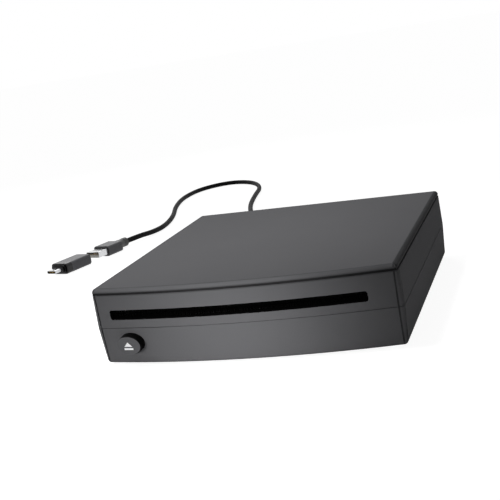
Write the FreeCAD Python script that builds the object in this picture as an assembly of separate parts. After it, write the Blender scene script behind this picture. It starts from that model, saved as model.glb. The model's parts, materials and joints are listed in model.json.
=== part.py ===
"""Slot-loading USB disc player with its lead and a USB-C adapter, in millimetres.

The origin is the centre of the housing's box at the surface that it stands on. +Y points
from the disc slot to the rear wall, +Z is up.
"""

import FreeCAD
import Part
import math
import os

V = FreeCAD.Vector

# Loader: the sheet metal frame that takes the disc
loader_width = 134.0
loader_depth = 128.0
loader_below_disc = 15.6
loader_above_disc = 9.2
sheet = 1.0
loader_front_wall = 5.0
loader_boss_radius = 3.4
loader_boss_inset_x = 12.0
loader_boss_inset_rear = 11.7
loader_boss_inset_front = 38.3
loader_screw_depth = 6.0
hinge_tab_gap = 1.6
hinge_tab_half_depth = 4.0
hinge_tab_rise = 4.0

# Housing: two moulded shells round the loader, which meet at a seam
case_wall = 2.4
side_room = 5.6
front_room = 8.6
rear_room = 21.6
board_room = 7.4
top_room = 1.6
lower_height = 18.6
front_bow = 7.1
top_lean = 1.26
bottom_recede = 1.96
upper_draft = 0.75
lower_draft = 0.81
edge_radius = 2.0
level_crease_width = 1.0
upright_crease_width = 0.7
crease_depth = 0.5
seam_groove_height = 0.35
seam_groove_depth = 0.5
lip_height = 1.8
lip_thickness = 0.95
lip_step = 0.05
lip_clearance = 0.12

# Disc and the slot in the front wall
disc_radius = 60.0
disc_thickness = 1.2
slot_width = 126.2
slot_height = 4.9
slot_centre_x = -3.0
slot_corner_radius = 1.2
felt_gap = 4.3
felt_thickness = 1.2
felt_height = 3.4
felt_overhang = 0.4
felt_clearance = 0.02
felt_above_lip = 0.3

# Feet and case screws
foot_stand = 1.2
foot_radius = 6.0
foot_seat_depth = 0.8
foot_inset_x = 17.0
foot_inset_y = 17.0
post_radius = 2.9
post_inset_x = 7.0
front_post_inset_y = 5.5
rear_post_inset_y = 8.2
screw_radius = 1.3
screw_clearance = 0.25
screw_grip = 9.0
screw_head_radius = 2.4
screw_head_height = 1.6
counterbore_depth = 2.0

# Eject button, square to the bowed and raked front wall
button_inset = 18.0
button_above_underside = 11.2
button_width = 13.4
button_height = 9.6
button_stand = 4.2
button_edge = 0.6
button_clearance = 0.25
button_travel = 1.0
button_flange = 1.0
button_flange_gap = 0.8
button_flange_thickness = 1.0
stem_radius = 2.2
stem_length = 1.2
symbol_width = 4.9
symbol_triangle_width = 4.3
symbol_triangle_height = 2.3
symbol_bar_height = 0.95
symbol_gap = 0.75
symbol_inlay = 0.3
symbol_proud = 0.05
switch_size = 6.0
switch_depth = 3.4
switch_plunger_radius = 1.7
board_thickness = 1.6
button_board_left = 7.2
button_board_right = 17.0
button_board_height = 13.0

# Roller, its swinging carrier and its belt drive
roller_radius = 4.0
roller_waist_radius = 3.4
roller_end_gap = 2.1
roller_shaft_radius = 2.0
roller_setback = 8.3
nip_squeeze = 0.4
carrier_reach = 18.0
carrier_arm_thickness = 1.2
carrier_wall_gap = 4.8
carrier_arm_half_height = 3.3
carrier_tail_length = 19.0
carrier_tail_rise = 3.0
carrier_tail_half_height = 2.2
carrier_bar_above_floor = 3.6
carrier_bar_half_depth = 2.0
carrier_drop_angle = 9.0
running_clearance = 0.05
motor_radius = 6.0
motor_length = 26.0
motor_shaft_radius = 1.0
motor_boss_radius = 3.2
pinion_hub_radius = 2.0
belt_thickness = 1.1
motor_pulley_radius = 3.0
roller_pulley_radius = 5.6
pulley_flange = 1.3
pulley_width = 2.2
pulley_gap = 0.4
pinion_tooth_count = 12
pinion_module = 0.5
tooth_root_depth = 1.1
tooth_tip_height = 0.9
tooth_root_share = 0.34
tooth_tip_share = 0.14
guide_depth = 14.0
guide_entry = 2.6
guide_wall = 1.6

# Cam slide on the left wall
slide_thickness = 1.2
slide_wall_gap = 0.3
slide_travel = 9.0
slide_setback = 14.0
slide_length = 66.0
slide_bottom_gap = 0.6
slide_height = 13.9
slide_rack_length = 9.5
front_stud_inset = 38.0
rear_stud_inset = 14.0
cam_pin_radius = 1.0
cam_pin_clearance = 0.3
stud_radius = 1.5
stud_head_radius = 2.6
stud_clearance = 0.1
stud_head_thickness = 0.8
stud_head_gap = 0.2

# Traverse: the hinged deck with the spindle and the pickup
traverse_drop_angle = 3.0
turntable_radius = 13.0
turntable_height = 2.0
hub_radius = 7.4
hub_height = 1.9
rotor_gap = 0.3
spindle_motor_radius = 12.0
spindle_motor_height = 4.3
deck_thickness = 1.0
deck_front_reach = 22.5
deck_left_reach = 45.0
deck_tongue_width = 8.0
deck_tongue_y = -10.0
hinge_setback = 5.7
pivot_pin_radius = 1.5
pivot_pin_length = 6.0
disc_stop_gap = 2.2
ear_outset = 0.4
tongue_wall_reach = 1.2
rod_tab_half_depth = 2.4
rod_start = 6.0
spindle_shaft_radius = 1.5
spindle_shaft_clearance = 0.05
rod_radius = 1.5
rod_above_deck = 2.0
rod_spacing = 28.0
sled_height = 3.5
sled_above_deck = 0.5
sled_inner_radius = 22.0
sled_outer_radius = 58.0
sled_arm_reach = 18.0
sled_half_block = 9.0
sled_front_reach = 4.5
leadscrew_offset = 20.5
leadscrew_radius = 1.5
leadscrew_pitch = 3.0
sled_motor_radius = 4.0
sled_motor_length = 11.0
sled_motor_offset = 11.0
sled_motor_room = 0.5
lens_radius = 2.6
lens_holder_size = 8.0
lens_holder_height = 1.2
lens_float_gap = 0.5
lens_well_gap = 0.6

# Clamp that holds the disc down from above
bridge_height = 3.9
bridge_width = 28.0
bridge_foot_height = 4.0
bridge_hole_gap = 0.4
magnet_radius = 3.0
clamper_radius = 12.0
clamper_ring_height = 2.2
clamper_neck_radius = 5.5
clamper_flange_radius = 8.5
clamper_flange_height = 1.4
clamper_recess_radius = 8.2
clamper_recess_depth = 1.4
clamper_gap = 0.3

# Main board under and behind the loader
main_board_width = 90.0
main_board_depth = 73.9
main_board_rear_gap = 4.3
main_board_above_floor = 2.4
board_post_radius = 2.6
board_hole_inset = 4.0
cord_socket_x = -30.0
cord_socket_inset = 9.0
cord_socket_width = 10.0
cord_socket_depth = 6.0
cord_socket_height = 6.0
chip_height = 1.2
chip_places = [(19.0, 19.0, 14.0, 14.0), (49.0, 21.0, 10.0, 6.0), (63.0, 35.0, 9.0, 6.0)]

# Flat cables inside the case
flat_cable_thickness = 0.3
loader_cable_width = 12.0
loader_cable_above_pan = 4.2
loader_cable_above_board = 3.0
loader_cable_behind = 2.0
board_socket_setback = 10.9
board_socket_depth = 5.0
board_socket_height = 4.0
pan_socket_setback = 6.0
pan_socket_depth = 4.0
pan_socket_height = 5.0
flat_socket_width = 16.0
button_cable_width = 4.0
button_cable_start = 12.5
button_cable_landing = 1.2
button_cable_inset = 4.0

# Free lead with its strain relief and plug
cord_diameter = 4.0
inner_lead_diameter = 2.6
gland_x = -52.0
gland_neck_radius = 3.5
gland_flange_radius = 5.2
gland_flange_thickness = 1.5
relief_length = 16.0
relief_root_radius = 3.6
relief_tip_radius = 2.7
relief_groove_count = 5

# Plug and adapter, lying on the surface in line with each other
plug_mouth_x = -195.1
plug_mouth_y = 165.4
plug_turn = 15.0
plug_width = 15.2
plug_height = 7.8
plug_sleeve_length = 15.5
plug_sleeve_wall = 0.7
plug_edge_radius = 2.4
usb_a_width = 12.0
usb_a_height = 4.5
usb_a_wall = 0.3
usb_a_exposed = 11.0
usb_a_buried = 4.0
usb_a_corner = 0.5
tongue_thickness = 1.9
tongue_setback = 0.4
latch_hole_half_spacing = 2.9
latch_hole_width = 2.3
latch_hole_start = 5.2
latch_hole_length = 2.2
contact_places = (-3.5, -1.0, 1.0, 3.5)
contact_width = 1.0
contact_proud = 0.12
contact_sunk = 0.1
contact_start = 1.4
long_contact = 8.6
short_contact = 7.6
plug_relief_length = 13.0
plug_relief_radius = 3.2
relief_share_along = (0.0, 0.22, 0.48, 0.74)
relief_share_wide = (1.0, 0.52, 0.2, 0.02)
relief_collar_share = 0.7
relief_collar_step = 0.25
adapter_gap = 11.0
adapter_sleeve_length = 20.5
adapter_collar_length = 5.4
socket_clearance = 0.2
socket_wall = 0.3
socket_depth = 12.0
socket_tongue_thickness = 1.3
socket_tongue_length = 8.5
nose_step_length = 1.2
nose_step = 1.0
usb_c_width = 8.25
usb_c_height = 2.4
usb_c_exposed = 6.5
usb_c_wall = 0.3
usb_c_slot_width = 6.7
usb_c_slot_height = 0.9
usb_c_pad_pitch = 1.3
usb_c_pad_width = 0.6
usb_c_pad_length = 3.0

# Places that follow from the sizes above
body_width = loader_width + 2 * (side_room + case_wall)
body_depth = case_wall + front_room + loader_depth + rear_room + case_wall
loader_bottom = case_wall + board_room
body_height = loader_bottom + loader_below_disc + loader_above_disc + top_room + case_wall
slot_above_underside = loader_bottom + loader_below_disc
loader_setback = case_wall + front_room
button_x = button_inset - body_width / 2
upper_height = body_height - lower_height
underside_z = foot_stand
seam_z = underside_z + lower_height
top_z = underside_z + body_height
disc_z = underside_z + slot_above_underside
rear_y = (body_depth + front_bow + top_lean * (1 - edge_radius / upper_height)) / 2
corner_y = rear_y - body_depth
case_floor_z = underside_z + case_wall
bow_radius = ((body_width / 2) ** 2 + front_bow**2) / (2 * front_bow)

loader_left = slot_centre_x - loader_width / 2
loader_right = slot_centre_x + loader_width / 2
loader_front = corner_y + loader_setback
loader_rear = loader_front + loader_depth
pan_bottom = disc_z - loader_below_disc
pan_floor = pan_bottom + sheet
plate_top = disc_z + loader_above_disc
plate_underside = plate_top - sheet
wall_left = loader_left + sheet
wall_right = loader_right - sheet
loader_boss_xs = [loader_left + loader_boss_inset_x, loader_right - loader_boss_inset_x]
loader_boss_ys = [loader_front + loader_boss_inset_front, loader_rear - loader_boss_inset_rear]

guide_z = disc_z + disc_thickness / 2 - nip_squeeze / 2
roller_y = loader_front + roller_setback
roller_z = disc_z - disc_thickness / 2 + nip_squeeze / 2 - roller_radius
pivot_y = roller_y + carrier_reach
pivot_z = pan_floor + motor_radius
slide_x = wall_left + slide_wall_gap
pulley_x = slide_x + slide_thickness + pulley_gap
arm_x = pulley_x + pulley_width + pulley_gap
motor_x = arm_x + carrier_arm_thickness + pulley_gap
right_arm_x = wall_right - carrier_wall_gap - carrier_arm_thickness
roller_left = arm_x + carrier_arm_thickness + roller_end_gap
roller_right = right_arm_x - roller_end_gap
tail_y = pivot_y + carrier_tail_length
tail_z = pivot_z + carrier_tail_rise

disc_y = loader_rear - sheet - disc_stop_gap - disc_radius
turntable_z = disc_z - disc_thickness / 2
rotor_z = turntable_z - turntable_height
deck_top = rotor_z - rotor_gap - spindle_motor_height
deck_bottom = deck_top - deck_thickness
hinge_y = loader_rear - hinge_setback
hinge_z = deck_bottom + deck_thickness / 2
rod_z = deck_top + rod_above_deck
deck_left = slot_centre_x - deck_left_reach
deck_right = wall_right - 0.7
rear_deck_right = slot_centre_x + deck_left_reach
rod_ys = (disc_y - rod_spacing / 2, disc_y + rod_spacing / 2)
leadscrew_y = disc_y + leadscrew_offset
sled_motor_left = slot_centre_x - sled_motor_offset
lens_x = slot_centre_x + sled_inner_radius
clamper_z = disc_z + disc_thickness / 2 + clamper_gap
bridge_z = disc_z + bridge_height

post_places = [
    (side * (body_width / 2 - post_inset_x), y)
    for side in (-1, 1)
    for y in (corner_y + front_post_inset_y, rear_y - rear_post_inset_y)
]
foot_places = [
    (side * (body_width / 2 - foot_inset_x), y)
    for side in (-1, 1)
    for y in (corner_y + foot_inset_y, rear_y - foot_inset_y)
]
main_board_rear_y = rear_y - case_wall - main_board_rear_gap
main_board_front_y = main_board_rear_y - main_board_depth
main_board_z = case_floor_z + main_board_above_floor
board_top_z = main_board_z + board_thickness
board_hole_places = [
    (side * (main_board_width / 2 - board_hole_inset), y)
    for side in (-1, 1)
    for y in (main_board_front_y + board_hole_inset, main_board_rear_y - board_hole_inset)
]
cord_socket_y = main_board_rear_y - cord_socket_inset
gland_z = seam_z
plug_axis_z = plug_height / 2
gland_tip_y = rear_y + gland_flange_thickness + relief_length
plug_heading_x = math.sin(math.radians(plug_turn))
plug_heading_y = math.cos(math.radians(plug_turn))
plug_length = usb_a_exposed + plug_sleeve_length + plug_relief_length


def behind_plug_mouth(distance, z):
    """A point on the plug's line, measured back from its mouth."""
    x = plug_mouth_x + plug_heading_x * distance
    return (x, plug_mouth_y + plug_heading_y * distance, z)


# The lead's route over the surface from the strain relief to the plug, chosen by hand
lead_route = [
    (gland_x, gland_tip_y, gland_z),
    (gland_x, gland_tip_y + 12.0, gland_z),
    (-53.0, 134.0, 9.2),
    (-57.5, 157.0, 2.05),
    (-71.0, 203.0, 2.05),
    (-93.0, 249.0, 2.05),
    (-113.0, 303.0, 2.05),
    (-124.0, 357.0, 2.05),
    (-131.0, 404.0, 2.05),
    (-150.0, 440.0, 2.05),
    (-178.0, 455.0, 2.05),
    (-202.0, 434.0, 2.05),
    (-206.0, 393.0, 2.05),
    (-197.0, 347.0, 2.05),
    (-181.5, 301.0, 2.05),
    (-174.0, 262.0, 2.05),
    (-175.5, 239.0, 2.4),
    behind_plug_mouth(plug_length + 18.0, plug_axis_z),
    behind_plug_mouth(plug_length, plug_axis_z),
]

made = {}


def box(x_low, x_high, y_low, y_high, z_low, z_high):
    return Part.makeBox(x_high - x_low, y_high - y_low, z_high - z_low, V(x_low, y_low, z_low))


def rod(radius, start, end):
    axis = V(*end) - V(*start)
    return Part.makeCylinder(radius, axis.Length, V(*start), axis)


def along_x(radius, x_low, x_high, y, z):
    return rod(radius, (x_low, y, z), (x_high, y, z))


def upright(radius, x, y, z_low, z_high):
    return rod(radius, (x, y, z_low), (x, y, z_high))


def joined(*shapes):
    result = shapes[0]
    for shape in shapes[1:]:
        result = result.fuse(shape)
    return result.removeSplitter()


def rounded_along(shape, direction, radius):
    """Rounds the straight edges of a block that run along one direction."""
    chosen = [
        edge
        for edge in shape.Edges
        if abs((edge.Vertexes[-1].Point - edge.Vertexes[0].Point).normalize().dot(direction)) > 0.999
    ]
    return shape.makeFillet(radius, chosen)


def plate_along_x(points, x_low, thickness):
    """A flat plate whose outline is given as (y, z) points."""
    corners = [V(x_low, y, z) for y, z in points]
    return Part.Face(Part.makePolygon(corners + corners[:1])).extrude(V(thickness, 0, 0))


def bar_along_x(start, end, half_height, x_low, thickness):
    """A flat bar with round ends between two (y, z) points."""
    run_y = end[0] - start[0]
    run_z = end[1] - start[1]
    length = math.hypot(run_y, run_z)
    side_y = -run_z / length * half_height
    side_z = run_y / length * half_height
    middle = plate_along_x(
        [
            (start[0] + side_y, start[1] + side_z),
            (end[0] + side_y, end[1] + side_z),
            (end[0] - side_y, end[1] - side_z),
            (start[0] - side_y, start[1] - side_z),
        ],
        x_low,
        thickness,
    )
    ends = [along_x(half_height, x_low, x_low + thickness, *place) for place in (start, end)]
    return joined(middle, *ends)


def turned_about_x(point, centre, degrees):
    """Where a (y, z) point goes when it turns about an axis along X."""
    angle = math.radians(degrees)
    y = point[0] - centre[0]
    z = point[1] - centre[1]
    return (
        centre[0] + y * math.cos(angle) - z * math.sin(angle),
        centre[1] + y * math.sin(angle) + z * math.cos(angle),
    )


def screw(x, y, head_z, direction, length, shank_radius=screw_radius):
    """A pan head screw, its head's seat at head_z and its shank along direction (1 up, -1 down)."""
    head_end = head_z - direction * screw_head_height
    head = rod(screw_head_radius, (x, y, head_z), (x, y, head_end))
    rim = [edge for edge in head.Edges if abs(edge.CenterOfMass.z - head_end) < 1e-6]
    head = head.makeFillet(screw_head_height * 0.4, rim)
    shank = rod(shank_radius, (x, y, head_z - direction * 0.2), (x, y, head_z + direction * length))
    low, high = sorted((head_end - direction, head_end + direction * screw_head_height * 0.6))
    arm = screw_head_radius * 0.6
    slit = screw_head_radius * 0.17
    cross = joined(
        box(x - arm, x + arm, y - slit, y + slit, low, high),
        box(x - slit, x + slit, y - arm, y + arm, low, high),
    )
    return joined(head, shank).cut(cross)


def keep(name, shape):
    made[name] = shape


def group(name, shapes):
    made[name] = Part.makeCompound(shapes)


# Housing shells


def half_width_at(z):
    if z >= seam_z:
        return body_width / 2 - upper_draft * (z - seam_z) / upper_height
    return body_width / 2 - lower_draft * (seam_z - z) / lower_height


def front_shift_at(z):
    if z >= seam_z:
        return -top_lean * (z - seam_z) / upper_height
    return bottom_recede * (seam_z - z) / lower_height


def outline(z, inset):
    """The housing's plan at a height: straight sides and back, and a bowed front."""
    half = half_width_at(z) - inset
    back = rear_y - inset
    corner = corner_y + front_shift_at(z) + inset
    left_back = V(-half, back, z)
    right_back = V(half, back, z)
    right_front = V(half, corner, z)
    left_front = V(-half, corner, z)
    bow = Part.Arc(right_front, V(0, corner - front_bow, z), left_front)
    return Part.Wire(
        [
            Part.makeLine(left_back, right_back),
            Part.makeLine(right_back, right_front),
            bow.toShape(),
            Part.makeLine(left_front, left_back),
        ]
    )


def shell_block(z_low, z_high, inset):
    return Part.makeLoft([outline(z_low, inset), outline(z_high, inset)], True, True)


def edges_off_seam(block):
    return [edge for edge in block.Edges if edge.BoundBox.ZMax - edge.BoundBox.ZMin > 0.5] + [
        edge
        for edge in block.Edges
        if edge.BoundBox.ZMax - edge.BoundBox.ZMin < 0.01 and abs(edge.BoundBox.ZMin - seam_z) > 0.5
    ]


def seam_prism(z_low, z_high, inset):
    """An upright block of the seam's plan with rounded corners."""
    face = Part.Face(outline(seam_z, inset))
    block = face.extrude(V(0, 0, z_high - z_low))
    block.translate(V(0, 0, z_low - seam_z))
    corner = max(edge_radius - inset, 0.3)
    return rounded_along(block, V(0, 0, 1), corner)


def seam_ring(z_low, z_high, outer_inset, inner_inset):
    return seam_prism(z_low, z_high, outer_inset).cut(seam_prism(z_low - 1, z_high + 1, inner_inset))


def level_crease(z_low):
    """A shallow line round the walls, beside the rounded edge."""
    z_high = z_low + level_crease_width
    return shell_block(z_low, z_high, -1).cut(shell_block(z_low - 1, z_high + 1, crease_depth))


def upright_creases(z_low, z_high):
    """Shallow lines down the front and side walls, on both sides of each rounded front corner."""
    walls = shell_block(z_low, z_high, -1).cut(shell_block(z_low - 1, z_high + 1, crease_depth))
    reach = edge_radius + upright_crease_width
    half = body_width / 2
    strips = []
    for side in (-1, 1):
        near, far = sorted((side * (half - reach), side * (half - edge_radius)))
        strips.append(box(near, far, corner_y - front_bow, corner_y + edge_radius, z_low, z_high))
        near, far = sorted((side * (half - reach), side * (half + 1)))
        strips.append(box(near, far, corner_y + edge_radius, corner_y + reach, z_low, z_high))
    return walls.common(Part.makeCompound(strips))


def gland_bore():
    return rod(
        gland_neck_radius + running_clearance,
        (gland_x, rear_y - case_wall - 2, gland_z),
        (gland_x, rear_y + 1, gland_z),
    )


def front_wall_slot():
    slot = box(
        slot_centre_x - slot_width / 2,
        slot_centre_x + slot_width / 2,
        corner_y - front_bow - 5,
        corner_y + case_wall + 3,
        disc_z - slot_height / 2,
        disc_z + slot_height / 2,
    )
    return rounded_along(slot, V(0, 1, 0), slot_corner_radius)


def make_top_cover():
    block = shell_block(seam_z, top_z, 0)
    block = block.makeFillet(edge_radius, edges_off_seam(block))
    cover = block.cut(shell_block(seam_z, top_z - case_wall, case_wall))
    bosses = [upright(post_radius, x, y, seam_z, top_z - case_wall / 2) for x, y in post_places]
    cover = joined(cover, *bosses)
    groove = seam_ring(seam_z - 1, seam_z + seam_groove_height, -3, seam_groove_depth)
    lip_inset = case_wall - lip_step - lip_thickness
    rebate = seam_ring(
        seam_z - 1,
        seam_z + lip_height + lip_clearance,
        lip_inset - lip_clearance,
        case_wall + lip_clearance,
    )
    pilots = [
        upright(screw_radius, x, y, seam_z - 1, seam_z + screw_grip + 1) for x, y in post_places
    ]
    crease_z = top_z - edge_radius - level_crease_width
    creases = [level_crease(crease_z), upright_creases(seam_z, crease_z + level_crease_width / 2)]
    for tool in [groove, rebate, front_wall_slot(), gland_bore()] + creases + pilots:
        cover = cover.cut(tool)
    keep("top_cover", cover.removeSplitter())


def make_bottom_case():
    block = shell_block(underside_z, seam_z, 0)
    block = block.makeFillet(edge_radius, edges_off_seam(block))
    case = block.cut(shell_block(case_floor_z, seam_z, case_wall))
    lip_back = case_wall - lip_step
    lip = seam_ring(seam_z - 0.5, seam_z + lip_height, lip_back - lip_thickness, lip_back)
    floor_inside = case_floor_z - case_wall / 2
    posts = [upright(post_radius, x, y, floor_inside, seam_z) for x, y in post_places]
    loader_bosses = [
        upright(loader_boss_radius, x, y, floor_inside, pan_bottom)
        for x in loader_boss_xs
        for y in loader_boss_ys
    ]
    board_posts = [
        upright(board_post_radius, x, y, floor_inside, main_board_z) for x, y in board_hole_places
    ]
    case = joined(case, lip, *posts, *loader_bosses, *board_posts, *button_board_holders())
    creases = upright_creases(underside_z + edge_radius, seam_z)
    tools = [gland_bore(), button_hole(), creases]
    for x, y in post_places:
        tools.append(upright(screw_radius + screw_clearance, x, y, underside_z - 1, seam_z + 1))
        counterbore_top = underside_z + counterbore_depth
        counterbore_radius = screw_head_radius + screw_clearance
        tools.append(upright(counterbore_radius, x, y, underside_z - 1, counterbore_top))
    for x, y in foot_places:
        tools.append(upright(foot_radius, x, y, underside_z - 1, underside_z + foot_seat_depth))
    for x in loader_boss_xs:
        for y in loader_boss_ys:
            tools.append(upright(screw_radius, x, y, pan_bottom - loader_screw_depth, pan_bottom + 1))
    for x, y in board_hole_places:
        tools.append(upright(screw_radius, x, y, case_floor_z, main_board_z + 1))
    for tool in tools:
        case = case.cut(tool)
    keep("bottom_case", case.removeSplitter())


def make_feet_and_case_screws():
    feet = []
    for x, y in foot_places:
        foot = upright(foot_radius, x, y, 0, underside_z + foot_seat_depth)
        rim = [edge for edge in foot.Edges if edge.BoundBox.ZMax < 0.01]
        feet.append(foot.makeFillet(foot_stand * 0.5, rim))
    group("rubber_feet", feet)
    seat_z = underside_z + counterbore_depth
    length = seam_z + screw_grip - seat_z
    group("case_screws", [screw(x, y, seat_z, 1, length) for x, y in post_places])


def make_dust_felts():
    heights = [
        (disc_z - felt_gap / 2 - felt_height, disc_z - felt_gap / 2),
        (disc_z + felt_gap / 2, disc_z + felt_gap / 2 + felt_height),
    ]
    strips = []
    for z_low, z_high in heights:
        low = max(z_low, seam_z + lip_height + felt_above_lip)
        outer = shell_block(low, z_high, case_wall + felt_clearance)
        strip = outer.cut(shell_block(low, z_high, case_wall + felt_thickness))
        limits = box(
            slot_centre_x - slot_width / 2 - felt_overhang,
            slot_centre_x + slot_width / 2 + felt_overhang,
            corner_y - front_bow - 5,
            corner_y + case_wall + felt_thickness + 4,
            low - 1,
            z_high + 1,
        )
        strips.append(strip.common(limits))
    group("dust_felts", strips)


# Eject button, built with its own outward axis along Z and then placed on the wall


def button_placement():
    z = underside_z + button_above_underside
    depth = bow_radius - math.sqrt(bow_radius**2 - button_x**2)
    y = corner_y - front_bow + depth + front_shift_at(z)
    turn = math.asin(button_x / bow_radius)
    rake = math.atan(bottom_recede / lower_height)
    outward = V(math.sin(turn) * math.cos(rake), -math.cos(turn) * math.cos(rake), -math.sin(rake))
    right = V(math.cos(turn), math.sin(turn), 0)
    upward = outward.cross(right)
    return FreeCAD.Placement(V(button_x, y, z), FreeCAD.Rotation(right, upward, outward, "ZXY"))


def on_button_wall(shape):
    shape = shape.copy()
    shape.Placement = button_placement().multiply(shape.Placement)
    return shape


def oval(width, height, z_low, z_high):
    edge = Part.Ellipse(V(0, 0, z_low), width / 2, height / 2).toShape()
    return Part.Face(Part.Wire([edge])).extrude(V(0, 0, z_high - z_low))


def button_hole():
    hole = oval(
        button_width + 2 * button_clearance,
        button_height + 2 * button_clearance,
        -case_wall - 3,
        5,
    )
    return on_button_wall(hole)


flange_front = -case_wall - button_flange_gap
flange_back = flange_front - button_flange_thickness
stem_back = flange_back - stem_length
switch_front = stem_back - button_travel - 0.2
board_front = switch_front - switch_depth
board_back = board_front - board_thickness


def button_board_holders():
    """Two slotted ribs on the case floor that hold the upright switch board."""
    holders = []
    foot = -(button_above_underside - 0.2)
    for x_low, x_high in (
        (-button_board_left - 0.6, -button_board_left + 2.4),
        (button_board_right - 2.4, button_board_right + 0.6),
    ):
        rib = box(x_low, x_high, foot, -button_board_height / 4, board_back - 1.2, board_front + 1.2)
        holders.append(on_button_wall(rib.cut(switch_board_blank())))
    return holders


def switch_board_blank():
    half = button_board_height / 2
    return box(-button_board_left, button_board_right, -half, half, board_back, board_front)


def make_eject_button():
    cap = oval(button_width, button_height, flange_front, button_stand)
    rim = [edge for edge in cap.Edges if abs(edge.BoundBox.ZMin - button_stand) < 0.01]
    cap = cap.makeFillet(button_edge, rim)
    flange_width = button_width + 2 * button_flange
    flange_height = button_height + 2 * button_flange
    flange = oval(flange_width, flange_height, flange_back, flange_front)
    stem = upright(stem_radius, 0, 0, stem_back, flange_back)
    symbols = eject_symbol()
    body = joined(cap, flange, stem)
    for symbol in symbols:
        body = body.cut(symbol)
    keep("eject_button", on_button_wall(body))
    group("eject_symbol", [on_button_wall(symbol) for symbol in symbols])


def eject_symbol():
    bottom = -(symbol_triangle_height + symbol_gap + symbol_bar_height) / 2
    z_low = button_stand - symbol_inlay
    thickness = symbol_inlay + symbol_proud
    bar = Part.makeBox(
        symbol_width, symbol_bar_height, thickness, V(-symbol_width / 2, bottom, z_low)
    )
    base = bottom + symbol_bar_height + symbol_gap
    corners = [
        V(-symbol_triangle_width / 2, base, z_low),
        V(symbol_triangle_width / 2, base, z_low),
        V(0, base + symbol_triangle_height, z_low),
    ]
    triangle = Part.Face(Part.makePolygon(corners + corners[:1])).extrude(V(0, 0, thickness))
    return [triangle, bar]


def make_button_switch():
    plunger = upright(switch_plunger_radius, 0, 0, switch_front - 0.8, stem_back)
    keep("switch_plunger", on_button_wall(plunger))
    half = switch_size / 2
    housing = box(-half, half, -half, half, board_front, switch_front)
    well = upright(switch_plunger_radius + 0.15, 0, 0, switch_front - 0.8 - button_travel - 0.2, 0)
    keep("eject_switch", on_button_wall(housing.cut(well)))
    keep("button_board", on_button_wall(switch_board_blank()))


# Loader frame


def make_loader_pan():
    outer = box(loader_left, loader_right, loader_front, loader_rear, pan_bottom, plate_underside)
    inner = box(
        wall_left,
        wall_right,
        loader_front + sheet,
        loader_rear - sheet,
        pan_floor,
        plate_underside + 1,
    )
    window = box(
        wall_left,
        wall_right,
        loader_front - 1,
        loader_front + sheet + 1,
        pan_bottom + loader_front_wall,
        plate_underside + 1,
    )
    pan = outer.cut(inner).cut(window)
    tabs = []
    for side_x in (deck_left - hinge_tab_gap - sheet, rear_deck_right + hinge_tab_gap):
        tab = box(
            side_x,
            side_x + sheet,
            hinge_y - hinge_tab_half_depth,
            hinge_y + hinge_tab_half_depth,
            pan_floor - sheet / 2,
            hinge_z + hinge_tab_rise,
        )
        tabs.append(tab.cut(along_x(pivot_pin_radius, side_x - 1, side_x + 2, hinge_y, hinge_z)))
    pan = joined(pan, *tabs)
    for x in loader_boss_xs:
        for y in loader_boss_ys:
            hole_radius = screw_radius + screw_clearance
            pan = pan.cut(upright(hole_radius, x, y, pan_bottom - 1, pan_floor + 1))
    flex_slot = box(
        -loader_cable_width,
        loader_cable_width,
        loader_rear - sheet - 1,
        loader_rear + 1,
        pan_floor + loader_cable_above_pan - 1.2,
        pan_floor + loader_cable_above_pan + 1.8,
    )
    keep("loader_pan", pan.cut(flex_slot).removeSplitter())
    screws = [
        screw(x, y, pan_floor, -1, loader_screw_depth + sheet - 0.5)
        for x in loader_boss_xs
        for y in loader_boss_ys
    ]
    group("loader_screws", screws)


def make_top_plate_and_guide():
    plate = box(loader_left, loader_right, loader_front, loader_rear, plate_underside, plate_top)
    hole = upright(clamper_radius, slot_centre_x, disc_y, plate_underside - 1, plate_top + 1)
    keep("loader_top_plate", plate.cut(hole))
    front = roller_y - guide_depth / 2 + 1
    back = front + guide_depth
    profile = [
        (front, plate_underside),
        (front, guide_z + guide_entry),
        (front + guide_entry, guide_z),
        (back - 2, guide_z),
        (back, guide_z + 2),
        (back, plate_underside),
    ]
    left = arm_x + carrier_arm_thickness + 0.2
    right = right_arm_x + carrier_arm_thickness
    solid = plate_along_x(profile, left, right - left)
    hollow = box(
        left + guide_wall,
        right - guide_wall,
        front + guide_wall,
        back - guide_wall,
        guide_z + guide_entry + guide_wall,
        plate_underside - guide_wall,
    )
    keep("disc_guide", solid.cut(hollow))


def make_clamp():
    left = wall_left
    right = wall_right
    front = disc_y - bridge_width / 2
    back = disc_y + bridge_width / 2
    bridge = box(left, right, front, back, bridge_z, bridge_z + sheet)
    feet = [
        box(left, left + sheet, front, back, bridge_z - bridge_foot_height, bridge_z + sheet),
        box(right - sheet, right, front, back, bridge_z - bridge_foot_height, bridge_z + sheet),
    ]
    hole_radius = clamper_neck_radius + bridge_hole_gap
    hole = upright(hole_radius, slot_centre_x, disc_y, bridge_z - 1, bridge_z + sheet + 1)
    keep("clamp_bridge", joined(bridge, *feet).cut(hole))
    flange_z = bridge_z + sheet
    x = slot_centre_x
    clamper = joined(
        upright(clamper_radius, x, disc_y, clamper_z, clamper_z + clamper_ring_height),
        upright(clamper_neck_radius, x, disc_y, clamper_z + 1, flange_z + 0.5),
        upright(clamper_flange_radius, x, disc_y, flange_z, flange_z + clamper_flange_height),
    )
    recess_top = clamper_z + clamper_recess_depth
    recess = upright(clamper_recess_radius, x, disc_y, clamper_z - 1, recess_top)
    magnet = upright(magnet_radius, x, disc_y, flange_z + 0.4, flange_z + clamper_flange_height)
    keep("disc_clamper", clamper.cut(recess).cut(magnet))
    keep("clamper_magnet", magnet)


# Roller, carrier and belt drive


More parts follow.
